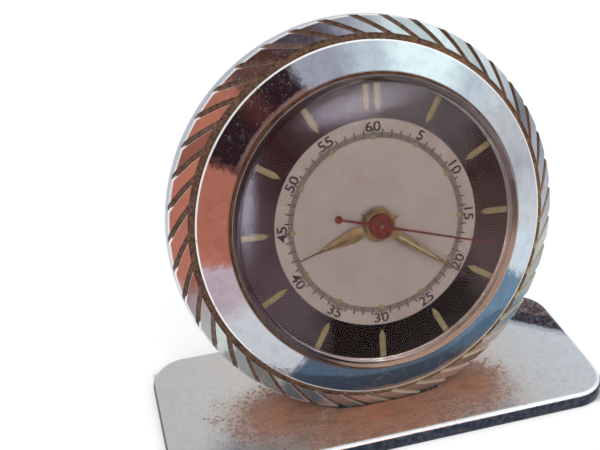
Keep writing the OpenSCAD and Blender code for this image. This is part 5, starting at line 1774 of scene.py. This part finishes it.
@dataclass
class Movement:
    """Movement, drum and cover, whose CAD nodes keep their shapes and get finishes, and the two knobs."""

    winding_knob: Knob = Knob(middle=(-7.6368, 7.6368), radius=4.6, flutes=30)
    setting_knob: Knob = Knob(middle=(-12.7082, -3.2392), radius=3.0, flutes=20)

    def build(self) -> None:
        """Dress the nodes, and build and dress the knobs."""
        steel = PlainMetal("movement_steel", colour=(0.42, 0.43, 0.45), stain=(0.16, 0.14, 0.13),
                           roughness=0.28)
        brass = PlainMetal("movement_brass", colour=(0.6, 0.43, 0.19), stain=(0.3, 0.18, 0.08))
        arbor = PlainMetal("arbor_steel", colour=(0.13, 0.10, 0.09), stain=(0.06, 0.04, 0.035), roughness=0.4)
        chrome = PlainMetal("drum_chrome", colour=(0.44, 0.46, 0.50), stain=(0.36, 0.36, 0.38), roughness=0.2,
                            grain=6.0)
        nickel = PlainMetal("cover_nickel", colour=(0.52, 0.49, 0.44), stain=(0.42, 0.385, 0.34), grain=9.0)
        for finish, names in ((steel, STEEL_NODES), (brass, BRASS_NODES), (arbor, ("seconds_arbor",)),
                              (chrome, ("case_drum",)), (nickel, ("back_cover",))):
            material = finish.build()
            for name in names:
                dress(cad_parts[name], material)
        bright = PlainMetal("knob_brass", colour=(0.56, 0.42, 0.22), stain=(0.26, 0.16, 0.09),
                            roughness=0.28).build()
        for body, knob in (("winding", self.winding_knob), ("setting", self.setting_knob)):
            fit_piece(make_piece(f"fluted_{body}_knob", knob.shell()), bright, body, f"{body}_knob")


# Studio

@dataclass
class Studio:
    """Floor, world, lamps and the camera at the photograph's angle, in metres; the camera's place is in mm.

    The floor glows away from the base, beyond a half width and a half depth that each rise over a span.
    """

    place: Triple = (-39.958, -115.741, 104.957)
    azimuth: float = -13.9732
    elevation: float = 31.4253
    roll: float = -2.1117
    lens: float = 55.3216
    clock_up: float = 0.03
    floor_half: float = 3.0
    floor_glow: float = 0.42
    glow_beyond: tuple[Span, Span] = ((0.0352, 0.0362), (0.0136, 0.0146))
    base_middle: float = -0.0035
    room_light: Colour = (0.95, 0.975, 1.0)
    room_strength: float = 0.62
    cool: Colour = (0.88, 0.90, 1.0)
    mild: Colour = (0.95, 0.93, 1.0)
    pane_shares: tuple[float, ...] = (1.15, 0.9, 0.66, 0.42)

    def camera(self) -> None:
        """Make the camera from its place, azimuth, elevation and roll."""
        az, el, roll = (math.radians(v) for v in (self.azimuth, self.elevation, self.roll))
        back = Vector((math.sin(az) * math.cos(el), -math.cos(az) * math.cos(el), math.sin(el)))
        right = (-back).cross(Vector((0, 0, 1))).normalized()
        up = right.cross(-back)
        side = right * math.cos(roll) + up * math.sin(roll)
        top = up * math.cos(roll) - right * math.sin(roll)
        data = bpy.data.cameras.new("photo_camera")
        data.lens, data.sensor_width, data.sensor_fit = self.lens, 36.0, "HORIZONTAL"
        data.clip_start, data.clip_end = 0.005, 20.0
        camera = link("photo_camera", data)
        camera.matrix_world = (Matrix.Translation(Vector(self.place) * MM)
                               @ Matrix((side, top, back)).transposed().to_4x4())
        bpy.context.scene.camera = camera

    def lamp(self, name: str, toward: Triple, size: Span, power: float, colour: Colour = (1, 1, 1),
             shape: str = "ELLIPSE", only: bpy.types.Collection | None = None) -> None:
        """Make a soft lamp that points at the clock.

        Args:
            name: Name of the lamp.
            toward: Azimuth and elevation from the front, in degrees, and distance.
            size: Width and height.
            power: Power in watts.
            colour: Colour of its light.
            shape: Shape of its face.
            only: Objects that alone receive its light, or None for all.
        """
        az, el, distance = math.radians(toward[0]), math.radians(toward[1]), toward[2]
        way = Vector((math.sin(az) * math.cos(el), -math.cos(az) * math.cos(el), math.sin(el))) * distance
        data = bpy.data.lights.new(name, "AREA")
        data.shape, data.size, data.size_y, data.energy, data.color = shape, size[0], size[1], power, colour
        lamp = link(name, data)
        lamp.location = way + Vector((0, 0, self.clock_up))
        lamp.rotation_euler = way.to_track_quat("Z", "Y").to_euler()
        if only is not None:
            lamp.light_linking.receiver_collection = only
            lamp.visible_transmission = lamp.visible_diffuse = False

    def lamps(self) -> None:
        """Make the key lamp, two windows, and the panes that show them on the crystal alone."""
        self.lamp("key", (50.0, 56.0, 2.4), (3.4, 3.4), 8.5, shape="RECTANGLE")
        crystal = bpy.data.collections.new("crystal_alone")
        crystal.objects.link(bpy.data.objects["domed_crystal"])
        self.lamp("window_left", (-17.6, 16.8, 1.0), (0.07, 0.40), 0.78, self.cool)
        self.lamp("window_top", (15.0, 35.0, 1.0), (0.48, 0.10), 0.9, self.mild)
        for n, share in enumerate(self.pane_shares):
            away = 1.0 + 0.01 * n
            self.lamp(f"pane_left_{n}", (-17.6, 16.8, away), (0.085 * share, 0.50 * share), 1.35 * share,
                      self.cool, only=crystal)
            self.lamp(f"pane_top_{n}", (19.0 - 2.8 * n, 35.0, away), (0.60 * share, 0.12 * share),
                      1.6 * share, self.mild, only=crystal)

    def floor(self) -> None:
        """Make the pale floor; away from the base it glows a little for the rays that show the background."""
        mesh = bpy.data.meshes.new("studio_floor")
        corners = self.floor_half * np.array([(-1, -1, 0), (1, -1, 0), (1, 1, 0), (-1, 1, 0)])
        mesh.from_pydata(corners, [], [(0, 1, 2, 3)])
        floor = link("studio_floor", mesh)
        s = Surface("pale_floor", ROW_PLACE)
        s.colour = s.mix(s.noise(s.object_place(), 40.0, 3.0), (0.93, 0.93, 0.94), (0.96, 0.96, 0.96))
        x, y, _ = s.object_place().parts()
        wide, deep = self.glow_beyond
        clear = abs(x).step(*wide).greater(abs(y - self.base_middle).step(*deep))
        mesh.materials.append(s.shade(Roughness=0.9, Specular_IOR_Level=0.1, Emission_Color=(1.0, 0.99, 0.97),
                                      Emission_Strength=s.backdrop_rays() * clear * self.floor_glow))

    def world(self) -> None:
        """Make the room: soft light on the object, and white for the rays that show the background."""
        world = bpy.data.worlds.new("soft_room")
        bpy.context.scene.world = world
        world.use_nodes = True
        g = Graph(world.node_tree)
        g.tree.nodes.clear()
        light = g.made("ShaderNodeBackground", {"Color": self.room_light, "Strength": self.room_strength})
        white = g.made("ShaderNodeBackground", {"Color": (1, 1, 1), "Strength": 1.0})
        both = g.made("ShaderNodeMixShader", {0: g.backdrop_rays(), 1: light, 2: white})
        g.feed(g.node("ShaderNodeOutputWorld").inputs[0], both)

    def build(self) -> None:
        """Build the floor, the world, the lamps and the camera."""
        self.floor()
        self.world()
        self.lamps()
        self.camera()
        bpy.context.scene.view_settings.view_transform = "Standard"


def main() -> None:
    """Build every part of the clock and the studio in order."""
    logging.basicConfig(level=logging.INFO, format="%(name)s: %(message)s")
    SheetBase().build()
    NotchedCase().build()
    Dial().build()
    Hands().build()
    Movement().build()
    Studio().build()


if __name__ == "__main__":
    main()
